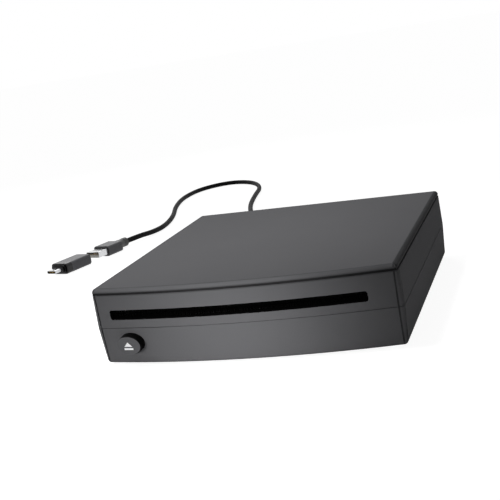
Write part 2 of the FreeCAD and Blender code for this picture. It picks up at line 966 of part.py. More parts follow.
def make_roller():
    half = (roller_right - roller_left) / 2
    start = V(roller_left, roller_y, roller_z)
    middle = V(roller_left + half, roller_y, roller_z)
    left = Part.makeCone(roller_radius, roller_waist_radius, half, start, V(1, 0, 0))
    right = Part.makeCone(roller_waist_radius, roller_radius, half, middle, V(1, 0, 0))
    bore = along_x(roller_shaft_radius, roller_left - 1, roller_right + 1, roller_y, roller_z)
    keep("loading_roller", joined(left, right).cut(bore))
    shaft_end = right_arm_x + carrier_arm_thickness + 1
    keep("roller_shaft", along_x(roller_shaft_radius, pulley_x - 0.2, shaft_end, roller_y, roller_z))


def pulley(x_low, y, z, groove_radius, bore_radius):
    rim = groove_radius + pulley_flange
    wheel = along_x(rim, x_low, x_low + pulley_width, y, z)
    groove_side = (pulley_width - belt_thickness) / 2 - 0.1
    groove = along_x(rim + 1, x_low + groove_side, x_low + pulley_width - groove_side, y, z)
    core = along_x(groove_radius, x_low, x_low + pulley_width, y, z)
    bore = along_x(bore_radius, x_low - 1, x_low + pulley_width + 1, y, z)
    return wheel.cut(groove).fuse(core).removeSplitter().cut(bore)


def belt_loop(inner_motor, inner_roller, x_low, thickness):
    """The filled loop round two wheels: both discs and the straight runs between them."""
    run_y = roller_y - pivot_y
    run_z = roller_z - pivot_z
    distance = math.hypot(run_y, run_z)
    heading = math.atan2(run_z, run_y)
    spread = math.acos((inner_motor - inner_roller) / distance)
    points = []
    for side in (1, -1):
        angle = heading + side * spread
        near = (pivot_y + inner_motor * math.cos(angle), pivot_z + inner_motor * math.sin(angle))
        far = (roller_y + inner_roller * math.cos(angle), roller_z + inner_roller * math.sin(angle))
        points += [near, far] if side == 1 else [far, near]
    return joined(
        plate_along_x(points, x_low, thickness),
        along_x(inner_motor, x_low, x_low + thickness, pivot_y, pivot_z),
        along_x(inner_roller, x_low, x_low + thickness, roller_y, roller_z),
    )


def make_roller_drive():
    keep("roller_pulley", pulley(pulley_x, roller_y, roller_z, roller_pulley_radius, roller_shaft_radius))
    wheel = pulley(pulley_x, pivot_y, pivot_z, motor_pulley_radius, motor_shaft_radius)
    hub = along_x(pinion_hub_radius, slide_x + slide_thickness - 0.2, pulley_x + 0.2, pivot_y, pivot_z)
    bore = along_x(motor_shaft_radius, slide_x - 1, pulley_x + 1, pivot_y, pivot_z)
    teeth = pinion(slide_x, slide_thickness, pivot_y, pivot_z)
    keep("motor_pulley", joined(wheel, hub, teeth).cut(bore))
    keep("motor_shaft", along_x(motor_shaft_radius, slide_x, motor_x + 4, pivot_y, pivot_z))
    belt_x = pulley_x + (pulley_width - belt_thickness) / 2
    inner = belt_loop(
        motor_pulley_radius + running_clearance,
        roller_pulley_radius + running_clearance,
        belt_x - 1,
        belt_thickness + 2,
    )
    outer = belt_loop(
        motor_pulley_radius + belt_thickness,
        roller_pulley_radius + belt_thickness,
        belt_x,
        belt_thickness,
    )
    keep("drive_belt", outer.cut(inner))
    can = along_x(motor_radius, motor_x, motor_x + motor_length, pivot_y, pivot_z)
    boss = along_x(motor_boss_radius, arm_x - 0.2, motor_x + 0.5, pivot_y, pivot_z)
    bore_radius = motor_shaft_radius + running_clearance
    bore = along_x(bore_radius, arm_x - 1, motor_x + 4.2, pivot_y, pivot_z)
    keep("loading_motor", joined(can, boss).cut(bore))


def pinion(x_low, width, y, z):
    pitch_radius = pinion_tooth_count * pinion_module / 2
    root = pitch_radius - tooth_root_depth * pinion_module
    tip = pitch_radius + tooth_tip_height * pinion_module
    step = 2 * math.pi / pinion_tooth_count
    flank = [
        (root, -tooth_root_share),
        (tip, -tooth_tip_share),
        (tip, tooth_tip_share),
        (root, tooth_root_share),
    ]
    points = []
    for tooth in range(pinion_tooth_count):
        for radius, offset in flank:
            angle = (tooth + offset) * step
            points.append((y + radius * math.cos(angle), z + radius * math.sin(angle)))
    return plate_along_x(points, x_low, width)


def make_carrier():
    """The swinging frame: two arms joined by a cross bar under the roller."""
    pivot = (pivot_y, pivot_z)
    roller = (roller_y, roller_z)
    arms = []
    for x_low in (arm_x, right_arm_x):
        arms.append(bar_along_x(pivot, roller, carrier_arm_half_height, x_low, carrier_arm_thickness))
    tail_end = (tail_y, tail_z)
    tail = bar_along_x(pivot, tail_end, carrier_tail_half_height, arm_x, carrier_arm_thickness)
    bar_front = (pivot_y + 2 * roller_y) / 3
    bar_back = bar_front + 2 * carrier_bar_half_depth
    bar_z = pan_floor + carrier_bar_above_floor
    bar_right = right_arm_x + carrier_arm_thickness
    cross = box(arm_x, bar_right, bar_front, bar_back, bar_z, bar_z + sheet)
    lugs = [
        box(x_low, x_low + carrier_arm_thickness, bar_front, bar_back, bar_z, roller_z)
        for x_low in (arm_x, right_arm_x)
    ]
    pin = along_x(cam_pin_radius, slide_x, arm_x + 0.3, tail_y, tail_z)
    frame = joined(*arms, tail, cross, *lugs, pin)
    end = right_arm_x + carrier_arm_thickness + 1
    tools = [
        along_x(motor_boss_radius + running_clearance, arm_x - 1, arm_x + 2, *pivot),
        along_x(pivot_pin_radius + running_clearance, right_arm_x - 1, end, *pivot),
        along_x(roller_shaft_radius + running_clearance, arm_x - 1, end, *roller),
    ]
    for tool in tools:
        frame = frame.cut(tool)
    keep("roller_carrier", frame.removeSplitter())


# Cam slide


def cam_slot(at_rest, when_loaded):
    """A slot for a pin that is at one (y, z) point at rest and at another once the slide has run."""
    seen_from_slide = (when_loaded[0] + slide_travel, when_loaded[1])
    half = cam_pin_radius + cam_pin_clearance
    return bar_along_x(at_rest, seen_from_slide, half, slide_x - 1, slide_thickness + 2)


def make_cam_slide():
    front = pivot_y + slide_setback
    bottom = pan_floor + slide_bottom_gap
    top = bottom + slide_height
    plate = box(slide_x, slide_x + slide_thickness, front, front + slide_length, bottom, top)
    tip_radius = pinion_module * (pinion_tooth_count / 2 + tooth_tip_height)
    rack_bottom = pivot_z + tip_radius + 0.25
    rack = rack_bar(front - slide_rack_length, front + 1, rack_bottom, top)
    tail_loaded = turned_about_x((tail_y, tail_z), (pivot_y, pivot_z), carrier_drop_angle)
    tongue_rest = turned_about_x(
        (deck_tongue_y, hinge_z), (hinge_y, hinge_z), traverse_drop_angle
    )
    slide = joined(plate, rack)
    slide = slide.cut(cam_slot((tail_y, tail_z), tail_loaded))
    slide = slide.cut(cam_slot(tongue_rest, (deck_tongue_y, hinge_z)))
    studs = []
    for y, z in stud_places(front, bottom, top):
        slot_end = (y + slide_travel, z)
        half = stud_radius + stud_clearance
        slide = slide.cut(bar_along_x((y, z), slot_end, half, slide_x - 1, slide_thickness + 2))
        head_x = slide_x + slide_thickness + stud_head_gap
        stud = joined(
            along_x(stud_radius, wall_left, head_x + 0.3, y, z),
            along_x(stud_head_radius, head_x, head_x + stud_head_thickness, y, z),
        )
        studs.append(stud)
    keep("cam_slide", slide)
    group("slide_studs", studs)


def stud_places(front, bottom, top):
    rear = front + slide_length
    return [(front + front_stud_inset, top - 4.0), (rear - rear_stud_inset, bottom + 3.4)]


def rack_bar(y_low, y_high, z_low, z_high):
    """A bar with trapezoid teeth along its lower edge."""
    pitch = math.pi * pinion_module
    depth = 2 * pinion_module
    teeth = int((y_high - y_low) / pitch)
    points = [(y_high, z_high), (y_low, z_high), (y_low, z_low + depth)]
    for tooth in range(teeth):
        y = y_low + tooth * pitch
        points += [
            (y + 0.2 * pitch, z_low + depth),
            (y + 0.4 * pitch, z_low),
            (y + 0.6 * pitch, z_low),
            (y + 0.8 * pitch, z_low + depth),
        ]
    points.append((y_high, z_low + depth))
    return plate_along_x(points, slide_x, slide_thickness)


# Traverse, built level as it lies with a disc loaded, then lowered about its hinge


def lowered(shape):
    turned = shape.copy()
    turned.rotate(V(0, hinge_y, hinge_z), V(1, 0, 0), traverse_drop_angle)
    return turned


def make_traverse_deck():
    front = disc_y - deck_front_reach
    plate = box(deck_left, deck_right, front, leadscrew_y + 6, deck_bottom, deck_top)
    rear = box(deck_left, rear_deck_right, front + 1, hinge_y + 2, deck_bottom, deck_top)
    tongue_x = arm_x + carrier_arm_thickness + 0.6
    tongue = box(
        tongue_x,
        deck_left + 1,
        deck_tongue_y - deck_tongue_width / 2,
        deck_tongue_y + deck_tongue_width / 2,
        deck_bottom,
        deck_top,
    )
    tongue_wall = box(
        tongue_x,
        tongue_x + sheet,
        deck_tongue_y - deck_tongue_width / 2,
        deck_tongue_y + deck_tongue_width / 2,
        deck_bottom - tongue_wall_reach,
        deck_top + tongue_wall_reach,
    )
    cam_pin = along_x(cam_pin_radius, slide_x, tongue_x + 0.5, deck_tongue_y, hinge_z)
    ear_places = (deck_left - ear_outset, rear_deck_right - sheet + ear_outset)
    ears = [
        box(x, x + sheet, hinge_y - 4, hinge_y + 3, deck_bottom - 2, deck_top + 3)
        for x in ear_places
    ]
    rod_tabs = []
    for y in rod_ys:
        for x in (slot_centre_x - rod_start, deck_right - sheet):
            rod_tabs.append(rod_tab(x, y).cut(along_x(rod_radius, x - 1, x + 2, y, rod_z)))
    screw_tab = rod_tab(deck_right - sheet, leadscrew_y)
    deck = joined(plate, rear, tongue, tongue_wall, cam_pin, screw_tab, *ears, *rod_tabs)
    window = box(
        sled_motor_left - sled_motor_room,
        sled_motor_left + sled_motor_length + sled_motor_room,
        leadscrew_y - sled_motor_radius - sled_motor_room,
        leadscrew_y + sled_motor_radius + sled_motor_room,
        deck_bottom - 1,
        deck_top + 0.01,
    )
    deck = deck.cut(window)
    screw_hole_radius = leadscrew_radius + running_clearance
    deck = deck.cut(along_x(screw_hole_radius, deck_right - 2, deck_right + 1, leadscrew_y, rod_z))
    for ear_x in ear_places:
        hole_radius = pivot_pin_radius + running_clearance
        hole_end = ear_x + sheet / 2 + pivot_pin_length
        hole_start = ear_x + sheet / 2 - pivot_pin_length
        deck = deck.cut(along_x(hole_radius, hole_start, hole_end, hinge_y, hinge_z))
    keep("traverse_deck", lowered(deck.removeSplitter()))
    pin_left = deck_left - hinge_tab_gap - 1.2
    pin_right = rear_deck_right + hinge_tab_gap + 1.2
    pins = [
        along_x(pivot_pin_radius, pin_left, pin_left + pivot_pin_length, hinge_y, hinge_z),
        along_x(pivot_pin_radius, pin_right - pivot_pin_length, pin_right, hinge_y, hinge_z),
        along_x(pivot_pin_radius, wall_right - pivot_pin_length, wall_right, pivot_y, pivot_z),
    ]
    group("pivot_pins", pins)


def rod_tab(x, y):
    """An upright tab on the deck that a guide rod or the lead screw ends in."""
    low = deck_top - deck_thickness / 2
    return box(x, x + sheet, y - rod_tab_half_depth, y + rod_tab_half_depth, low, rod_z + 2)


def make_spindle():
    x = slot_centre_x
    stator = upright(spindle_motor_radius, x, disc_y, deck_top, rotor_z - rotor_gap)
    bore_radius = spindle_shaft_radius + spindle_shaft_clearance
    bore = upright(bore_radius, x, disc_y, deck_top + 0.8, rotor_z)
    keep("spindle_motor", lowered(stator.cut(bore)))
    hub = Part.makeCone(hub_radius, hub_radius - 1.2, hub_height, V(x, disc_y, turntable_z))
    table = joined(
        upright(turntable_radius, x, disc_y, rotor_z, turntable_z),
        hub,
        upright(spindle_shaft_radius, x, disc_y, deck_top + 1.0, rotor_z + 0.5),
    )
    keep("turntable", lowered(table))


def make_sled():
    x_low = lens_x - sled_half_block
    x_high = lens_x + sled_front_reach
    z_low = deck_top + sled_above_deck
    z_high = z_low + sled_height
    arm_half = rod_spacing / 2 + 3.5
    block = box(x_low, x_high, disc_y - arm_half, disc_y + arm_half, z_low, z_high)
    arms = []
    arm_inner = spindle_motor_radius + 0.6
    for low, high in ((-arm_half, -arm_inner), (arm_inner, arm_half)):
        arms.append(
            box(lens_x - sled_arm_reach, x_low + 1, disc_y + low, disc_y + high, z_low, z_high)
        )
    nut = box(
        lens_x - 3,
        x_high,
        disc_y + arm_half - 1,
        leadscrew_y + 2.6,
        z_low,
        z_high,
    )
    sled = joined(block, *arms, nut)
    for y in rod_ys:
        bore_radius = rod_radius + running_clearance
        sled = sled.cut(along_x(bore_radius, lens_x - sled_arm_reach - 1, x_high + 1, y, rod_z))
    nut_radius = leadscrew_radius + running_clearance
    sled = sled.cut(along_x(nut_radius, lens_x - 4, x_high + 1, leadscrew_y, rod_z))
    well = upright(lens_radius + lens_well_gap, lens_x, disc_y, z_high - 2, z_high + 1)
    keep("pickup_sled", lowered(sled.cut(well)))
    half = lens_holder_size / 2
    holder_z = z_high + lens_float_gap
    holder = box(
        lens_x - half,
        lens_x + half - 0.2,
        disc_y - half,
        disc_y + half,
        holder_z,
        holder_z + lens_holder_height,
    )
    seat = upright(lens_radius, lens_x, disc_y, holder_z - 1, holder_z + lens_holder_height + 1)
    keep("lens_holder", lowered(holder.cut(seat)))
    lens = upright(lens_radius, lens_x, disc_y, holder_z, holder_z + lens_holder_height)
    rim = [edge for edge in lens.Edges if edge.BoundBox.ZMin > holder_z + lens_holder_height - 0.01]
    keep("objective_lens", lowered(lens.makeFillet(0.5, rim)))


def make_sled_drive():
    rods = []
    for y in rod_ys:
        rods.append(lowered(along_x(rod_radius, slot_centre_x - rod_start - 0.2, deck_right, y, rod_z)))
    group("sled_rods", rods)
    left = sled_motor_left
    right = left + sled_motor_length
    motor = along_x(sled_motor_radius, left, right, leadscrew_y, rod_z)
    bracket = box(
        right,
        right + 0.6,
        leadscrew_y - sled_motor_radius,
        leadscrew_y + sled_motor_radius + 1.5,
        deck_top,
        rod_z + sled_motor_radius,
    )
    bore_radius = leadscrew_radius + running_clearance
    bore = along_x(bore_radius, left + 4, right + 1, leadscrew_y, rod_z)
    keep("sled_motor", lowered(joined(motor, bracket).cut(bore)))
    screw_left = left + 4.3
    keep("leadscrew", lowered(along_x(leadscrew_radius, screw_left, deck_right, leadscrew_y, rod_z)))


# Electronics


def make_main_board():
    half = main_board_width / 2
    board = box(-half, half, main_board_front_y, main_board_rear_y, main_board_z, board_top_z)
    for x, y in board_hole_places:
        board = board.cut(
            upright(screw_radius + screw_clearance, x, y, main_board_z - 1, board_top_z + 1)
        )
    keep("main_board", board)
    screws = [screw(x, y, board_top_z, -1, 3.4) for x, y in board_hole_places]
    group("board_screws", screws)
    chips = []
    for from_left, from_front, width, depth in chip_places:
        x = from_left - half
        y = main_board_front_y + from_front
        chips.append(box(x, x + width, y, y + depth, board_top_z, board_top_z + chip_height))
    group("board_chips", chips)
    socket = box(
        cord_socket_x - cord_socket_width / 2,
        cord_socket_x + cord_socket_width / 2,
        cord_socket_y - cord_socket_depth / 2,
        cord_socket_y + cord_socket_depth / 2,
        board_top_z,
        board_top_z + cord_socket_height,
    )
    keep("cord_socket", socket)


def make_loader_flex():
    """The wide flat cable from the loader's rear wall down to the main board."""
    half = loader_cable_width / 2
    thickness = flat_cable_thickness
    pan_z = pan_floor + loader_cable_above_pan
    outside_y = loader_rear + loader_cable_behind
    flex_y = main_board_rear_y - board_socket_setback
    over_z = board_top_z + loader_cable_above_board
    run_in = box(-half, half, loader_rear - pan_socket_setback, outside_y, pan_z, pan_z + thickness)
    run_down = box(-half, half, outside_y - thickness, outside_y, over_z, pan_z + thickness)
    run_over = box(-half, half, outside_y - thickness, flex_y, over_z, over_z + thickness)
    plug_in = box(-half, half, flex_y - thickness, flex_y, over_z - 1, over_z + 0.2)
    keep("loader_flex", joined(run_in, run_down, run_over, plug_in))
    socket_half = flat_socket_width / 2
    pan_back = loader_rear - pan_socket_setback
    pan_top = pan_floor + pan_socket_height
    board_top = board_top_z + board_socket_height
    sockets = [
        box(-socket_half, socket_half, pan_back - pan_socket_depth, pan_back, pan_floor, pan_top),
        box(-socket_half, socket_half, flex_y, flex_y + board_socket_depth, board_top_z, board_top),
    ]
    group("flex_sockets", sockets)


def make_button_flex():
    """The narrow flat cable along the case floor from the switch board to the main board."""
    width = button_cable_width
    thickness = flat_cable_thickness
    start_x = button_x + button_board_right - 6
    board_x = -main_board_width / 2 + button_cable_inset
    end_x = board_x + width
    front_y = corner_y + button_cable_start
    across_y = main_board_front_y - 3
    landing_y = main_board_front_y + button_cable_landing
    floor_top = case_floor_z + thickness
    board_top = board_top_z + thickness
    ribbon = joined(
        box(start_x, start_x + width, front_y, across_y, case_floor_z, floor_top),
        box(start_x, end_x, across_y - width, across_y, case_floor_z, floor_top),
        box(board_x, end_x, across_y - 1, across_y, case_floor_z, board_top),
        box(board_x, end_x, across_y - 1, landing_y, board_top_z, board_top),
    )
    keep("button_flex", ribbon)


def make_inner_lead():
    """The lead's end inside the case, from the strain relief to its socket on the main board."""
    flange_y = rear_y - case_wall - gland_flange_thickness
    points = [
        (gland_x, flange_y, gland_z),
        (gland_x, flange_y - 4.5, gland_z),
        (cord_socket_x - 7, cord_socket_y + 2, gland_z + 1),
        (cord_socket_x, cord_socket_y, gland_z - 2),
        (cord_socket_x, cord_socket_y, board_top_z + cord_socket_height),
    ]
    keep("inner_lead", cord_tube("inner lead", points, inner_lead_diameter))


# Free lead


def rounded_path(name, points):
    """Straight runs joined by tangent arcs, each as large as its two runs allow."""
    corners = [V(*point) for point in points]
    edges = []
    radii = []
    start = corners[0]
    for before, corner, after in zip(corners, corners[1:], corners[2:]):
        back = before - corner
        ahead = after - corner
        reach = 0.45 * min(back.Length, ahead.Length)
        back.normalize()
        ahead.normalize()
        turn = math.pi - back.getAngle(ahead)
        radius = reach / math.tan(turn / 2)
        inward = back + ahead
        inward.normalize()
        middle = corner + inward * (radius * (1 / math.cos(turn / 2) - 1))
        edges.append(Part.makeLine(start, corner + back * reach))
        edges.append(Part.Arc(corner + back * reach, middle, corner + ahead * reach).toShape())
        start = corner + ahead * reach
        radii.append(round(radius, 1))
    edges.append(Part.makeLine(start, corners[-1]))
    print(name, "bend radii", radii)
    return Part.Wire(edges)


def cord_tube(name, points, diameter):
    path = rounded_path(name, points)
    first = V(*points[0])
    heading = V(*points[1]) - first
    ring = Part.Wire([Part.makeCircle(diameter / 2, first, heading)])
    tube = path.makePipeShell([ring], True, False)
    expected = math.pi * diameter**2 / 4 * path.Length
    print(name, "length", round(path.Length, 1), "volume ratio", round(tube.Volume / expected, 4))
    return tube


def make_gland():
    wall_in = rear_y - case_wall
    x = gland_x
    sleeve = Part.makeCone(
        relief_root_radius,
        relief_tip_radius,
        relief_length,
        V(x, rear_y + gland_flange_thickness, gland_z),
        V(0, 1, 0),
    )
    gland = joined(
        rod(gland_flange_radius, (x, wall_in - gland_flange_thickness, gland_z), (x, wall_in, gland_z)),
        rod(gland_neck_radius, (x, wall_in, gland_z), (x, rear_y, gland_z)),
        rod(gland_flange_radius, (x, rear_y, gland_z), (x, rear_y + gland_flange_thickness, gland_z)),
        sleeve,
    )
    pitch = relief_length / (relief_groove_count + 1.5)
    for index in range(relief_groove_count):
        y = rear_y + gland_flange_thickness + pitch * (index + 1)
        ring = rod(relief_root_radius + 1, (x, y, gland_z), (x, y + pitch * 0.4, gland_z))
        core = rod(relief_tip_radius - 0.3, (x, y - 1, gland_z), (x, y + pitch, gland_z))
        gland = gland.cut(ring.cut(core))
    keep("cord_gland", gland.removeSplitter())


# Plug and adapter, built with the plug's mouth at the origin facing -Y


def on_surface(shape):
    placed = shape.copy()
    placed.translate(V(0, 0, plug_axis_z))
    placed.rotate(V(0, 0, 0), V(0, 0, 1), -plug_turn)
    placed.translate(V(plug_mouth_x, plug_mouth_y, 0))
    return placed


def soft_bar(width, height, y_low, y_high, radius):
    """A bar along Y with rounded long edges, centred on the plug's axis."""
    bar = box(-width / 2, width / 2, y_low, y_high, -height / 2, height / 2)
    return rounded_along(bar, V(0, 1, 0), min(radius, height * 0.49))


def soft_ring_wire(width, height, radius, y):
    face = soft_bar(width, height, y, y + 1, radius).Faces
    chosen = [item for item in face if item.BoundBox.YMax - y < 1e-6]
    return chosen[0].OuterWire


def make_plug():
    housing_front = usb_a_exposed
    housing_rear = housing_front + plug_sleeve_length
    shell = soft_bar(usb_a_width, usb_a_height, 0, housing_front + usb_a_buried, usb_a_corner)
    hollow = soft_bar(
        usb_a_width - 2 * usb_a_wall,
        usb_a_height - 2 * usb_a_wall,
        -1,
        housing_front + usb_a_buried + 1,
        usb_a_corner / 2,
    )
    metal = shell.cut(hollow)
    latch_hole_end = latch_hole_start + latch_hole_length
    for middle in (-latch_hole_half_spacing, latch_hole_half_spacing):
        left = middle - latch_hole_width / 2
        right = middle + latch_hole_width / 2
        hole = box(left, right, latch_hole_start, latch_hole_end, -usb_a_height, usb_a_height)
        metal = metal.cut(hole)
    keep("usb_a_shell", on_surface(metal))
    inner_floor = -usb_a_height / 2 + usb_a_wall
    tongue_top = inner_floor + tongue_thickness
    tongue_half = usb_a_width / 2 - usb_a_wall
    tongue_end = housing_front + usb_a_buried
    tongue = box(-tongue_half, tongue_half, tongue_setback, tongue_end, inner_floor, tongue_top)
    tongue = tongue.common(hollow)
    pads = []
    pad_low = tongue_top - contact_sunk
    pad_high = tongue_top + contact_proud
    for x, length in zip(contact_places, (long_contact, short_contact, short_contact, long_contact)):
        left = x - contact_width / 2
        right = x + contact_width / 2
        pads.append(box(left, right, contact_start, contact_start + length, pad_low, pad_high))
    for pad in pads:
        tongue = tongue.cut(pad)
    keep("usb_a_tongue", on_surface(tongue))
    group("usb_a_contacts", [on_surface(pad) for pad in pads])
    sleeve = soft_bar(plug_width, plug_height, housing_front, housing_rear, plug_edge_radius)
    inside = soft_bar(
        plug_width - 2 * plug_sleeve_wall,
        plug_height - 2 * plug_sleeve_wall,
        housing_front - 1,
        housing_rear + 1,
        plug_edge_radius - plug_sleeve_wall,
    )
    keep("plug_sleeve", on_surface(sleeve.cut(inside)))
    core = soft_bar(
        plug_width - 2 * plug_sleeve_wall,
        plug_height - 2 * plug_sleeve_wall,
        housing_front + 0.3,
        housing_rear,
        plug_edge_radius - plug_sleeve_wall,
    )
    pocket = soft_bar(usb_a_width, usb_a_height, 0, housing_front + usb_a_buried, usb_a_corner)
    keep("plug_core", on_surface(core.cut(pocket)))
    make_plug_relief(housing_rear)


def make_plug_relief(housing_rear):
    """A rubber tail that narrows from the housing's width to a round collar."""
    inner_width = plug_width - 2 * plug_sleeve_wall
    inner_height = plug_height - 2 * plug_sleeve_wall
    sections = []
    for along, wide in zip(relief_share_along, relief_share_wide):
        width = 2 * plug_relief_radius + (inner_width - 2 * plug_relief_radius) * wide
        height = 2 * plug_relief_radius + (inner_height - 2 * plug_relief_radius) * wide
        y = housing_rear + along * plug_relief_length
        sections.append(soft_ring_wire(width, height, min(width, height) * 0.49, y))
    tail = Part.makeLoft(sections, True, False)
    collar_start = housing_rear + relief_collar_share * plug_relief_length
    collar_end = housing_rear + plug_relief_length
    collar = rod(plug_relief_radius + relief_collar_step, (0, collar_start, 0), (0, collar_end, 0))
    keep("plug_relief", on_surface(joined(tail, collar)))


def make_adapter():
    rear = -adapter_gap
    sleeve_front = rear - adapter_sleeve_length
    collar_front = sleeve_front - adapter_collar_length
    sleeve = soft_bar(plug_width, plug_height, sleeve_front, rear, plug_edge_radius)
    inner_width = plug_width - 2 * plug_sleeve_wall
    inner_height = plug_height - 2 * plug_sleeve_wall
    inner_radius = plug_edge_radius - plug_sleeve_wall
    inside = soft_bar(inner_width, inner_height, sleeve_front - 1, rear + 1, inner_radius)
    keep("adapter_sleeve", on_surface(sleeve.cut(inside)))
    socket_inner_width = usb_a_width + 2 * socket_clearance
    socket_inner_height = usb_a_height + 2 * socket_clearance
    socket_back = rear - socket_depth
    socket = soft_bar(
        socket_inner_width + 2 * socket_wall,
        socket_inner_height + 2 * socket_wall,
        socket_back,
        rear - 0.2,
        usb_a_corner + 0.3,
    )
    socket_hollow = soft_bar(
        socket_inner_width, socket_inner_height, socket_back - 1, rear + 1, usb_a_corner
    )
    keep("adapter_socket", on_surface(socket.cut(socket_hollow)))
    liner = soft_bar(inner_width, inner_height, sleeve_front, rear - 0.2, inner_radius)
    liner = liner.cut(
        soft_bar(
            socket_inner_width + 2 * socket_wall,
            socket_inner_height + 2 * socket_wall,
            socket_back,
            rear + 1,
            usb_a_corner + 0.3,
        )
    )
    usb_c_end = collar_front - 2 * nose_step_length
    usb_c_back = sleeve_front + 2
    usb_c_pocket = usb_c_bar(usb_c_width, usb_c_height, usb_c_end - 1, usb_c_back)
    collar = soft_bar(plug_width, plug_height, collar_front, sleeve_front, plug_edge_radius)
    front_edges = [edge for edge in collar.Edges if edge.BoundBox.YMax - collar_front < 1e-6]
    collar = collar.makeFillet(0.5, front_edges)
    step_one = soft_bar(
        plug_width - 2 * nose_step - 0.6,
        plug_height - 2 * nose_step,
        collar_front - nose_step_length,
        collar_front + 0.1,
        plug_edge_radius - 0.6,
    )
    step_two = soft_bar(
        plug_width - 4 * nose_step - 0.6,
        plug_height - 3.6 * nose_step,
        usb_c_end,
        collar_front + 0.1,
        plug_edge_radius - 1.0,
    )
    keep("adapter_body", on_surface(joined(liner, collar, step_one, step_two).cut(usb_c_pocket)))
    tongue_low = -usb_a_height / 2 + usb_a_wall + tongue_thickness + 0.3
    tongue_half = usb_a_width / 2 - usb_a_wall - 0.3
    tongue = box(
        -tongue_half,
        tongue_half,
        socket_back,
        socket_back + socket_tongue_length,
        tongue_low,
        tongue_low + socket_tongue_thickness,
    )
    socket_pads = []
    pad_low = tongue_low - contact_proud
    pad_high = tongue_low + contact_sunk
    for x in contact_places:
        left = x - contact_width / 2
        right = x + contact_width / 2
        socket_pads.append(box(left, right, socket_back + 1, rear - 4.2, pad_low, pad_high))
    for pad in socket_pads:
        tongue = tongue.cut(pad)
    keep("socket_tongue", on_surface(tongue))
    make_usb_c(usb_c_end, usb_c_back, socket_pads)


def usb_c_bar(width, height, y_low, y_high):
    return soft_bar(width, height, y_low, y_high, height * 0.49)


def make_usb_c(nose_front, back, socket_pads):
    mouth = nose_front - usb_c_exposed
    shell = usb_c_bar(usb_c_width, usb_c_height, mouth, back)
    hollow_width = usb_c_width - 2 * usb_c_wall
    hollow_height = usb_c_height - 2 * usb_c_wall
    hollow = usb_c_bar(hollow_width, hollow_height, mouth - 1, back + 1)
    keep("usb_c_shell", on_surface(shell.cut(hollow)))
    liner = usb_c_bar(hollow_width, hollow_height, mouth + 0.35, back)
    slot = usb_c_bar(usb_c_slot_width, usb_c_slot_height, mouth - 1, nose_front - 0.5)
    pads = []
    pad_start = mouth + tongue_setback
    pad_end = pad_start + usb_c_pad_length
    for step in (-1.5, -0.5, 0.5, 1.5):
        left = step * usb_c_pad_pitch - usb_c_pad_width / 2
        right = left + usb_c_pad_width
        for side in (-1, 1):
            slot_edge = side * usb_c_slot_height / 2
            low, high = sorted((slot_edge - side * 0.14, slot_edge + side * contact_sunk))
            pads.append(box(left, right, pad_start, pad_end, low, high))
    liner = liner.cut(slot)
    for pad in pads:
        liner = liner.cut(pad)
    keep("usb_c_liner", on_surface(liner))
    group("adapter_contacts", [on_surface(pad) for pad in pads + socket_pads])


def make_free_lead():
    make_gland()
    keep("usb_cord", cord_tube("usb cord", lead_route, cord_diameter))


for make in (
    make_top_cover,
    make_bottom_case,
    make_feet_and_case_screws,
    make_dust_felts,
    make_eject_button,
    make_button_switch,
    make_loader_pan,
    make_top_plate_and_guide,
    make_clamp,
    make_roller,
    make_roller_drive,
    make_carrier,
    make_cam_slide,
    make_traverse_deck,
    make_spindle,
    make_sled,
    make_sled_drive,
    make_main_board,
    make_loader_flex,
    make_button_flex,
    make_inner_lead,
    make_plug,
    make_adapter,
    make_free_lead,
):
    make()

os.makedirs("parts", exist_ok=True)
for name, shape in made.items():
    shape.exportStep(f"parts/{name}.step")
    print(name, len(shape.Solids), "valid" if shape.isValid() else "NOT VALID", round(shape.Volume, 1))
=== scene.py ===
"""Slot-loading USB disc player with its braided lead and plug adapter, on a white studio floor."""

import json
import math
import random

import bmesh
import bpy
from mathutils import Matrix, Vector


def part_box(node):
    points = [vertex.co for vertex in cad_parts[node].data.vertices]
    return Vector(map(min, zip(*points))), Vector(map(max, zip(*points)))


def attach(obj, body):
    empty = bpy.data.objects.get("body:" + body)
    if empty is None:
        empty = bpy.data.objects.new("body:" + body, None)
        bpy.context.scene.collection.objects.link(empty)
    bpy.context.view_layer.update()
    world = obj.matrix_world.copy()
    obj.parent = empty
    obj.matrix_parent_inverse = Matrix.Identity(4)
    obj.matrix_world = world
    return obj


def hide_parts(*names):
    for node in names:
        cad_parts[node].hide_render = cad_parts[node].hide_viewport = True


MM = 0.001

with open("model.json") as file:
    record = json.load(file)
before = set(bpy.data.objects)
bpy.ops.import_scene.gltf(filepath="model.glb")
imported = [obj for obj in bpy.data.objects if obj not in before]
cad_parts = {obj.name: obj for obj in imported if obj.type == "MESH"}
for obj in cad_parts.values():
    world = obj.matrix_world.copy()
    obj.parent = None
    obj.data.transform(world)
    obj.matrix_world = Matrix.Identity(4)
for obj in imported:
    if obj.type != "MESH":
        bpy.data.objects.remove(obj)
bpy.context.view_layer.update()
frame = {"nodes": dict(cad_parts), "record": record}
nodes = frame["nodes"]

# The lead, in millimetres: its size, the plug at its end and its route's points as in the part's
# source
cord_diameter = 4.0
gland_tip = (-52.0, 103.117, 19.8)
plug_mouth = (-195.1, 165.4, 3.9)
plug_turn = math.radians(15.0)
plug_length = 39.5
straight_to_plug = 18.0


def behind_plug_mouth(distance):
    x, y, z = plug_mouth
    return (x + math.sin(plug_turn) * distance, y + math.cos(plug_turn) * distance, z)


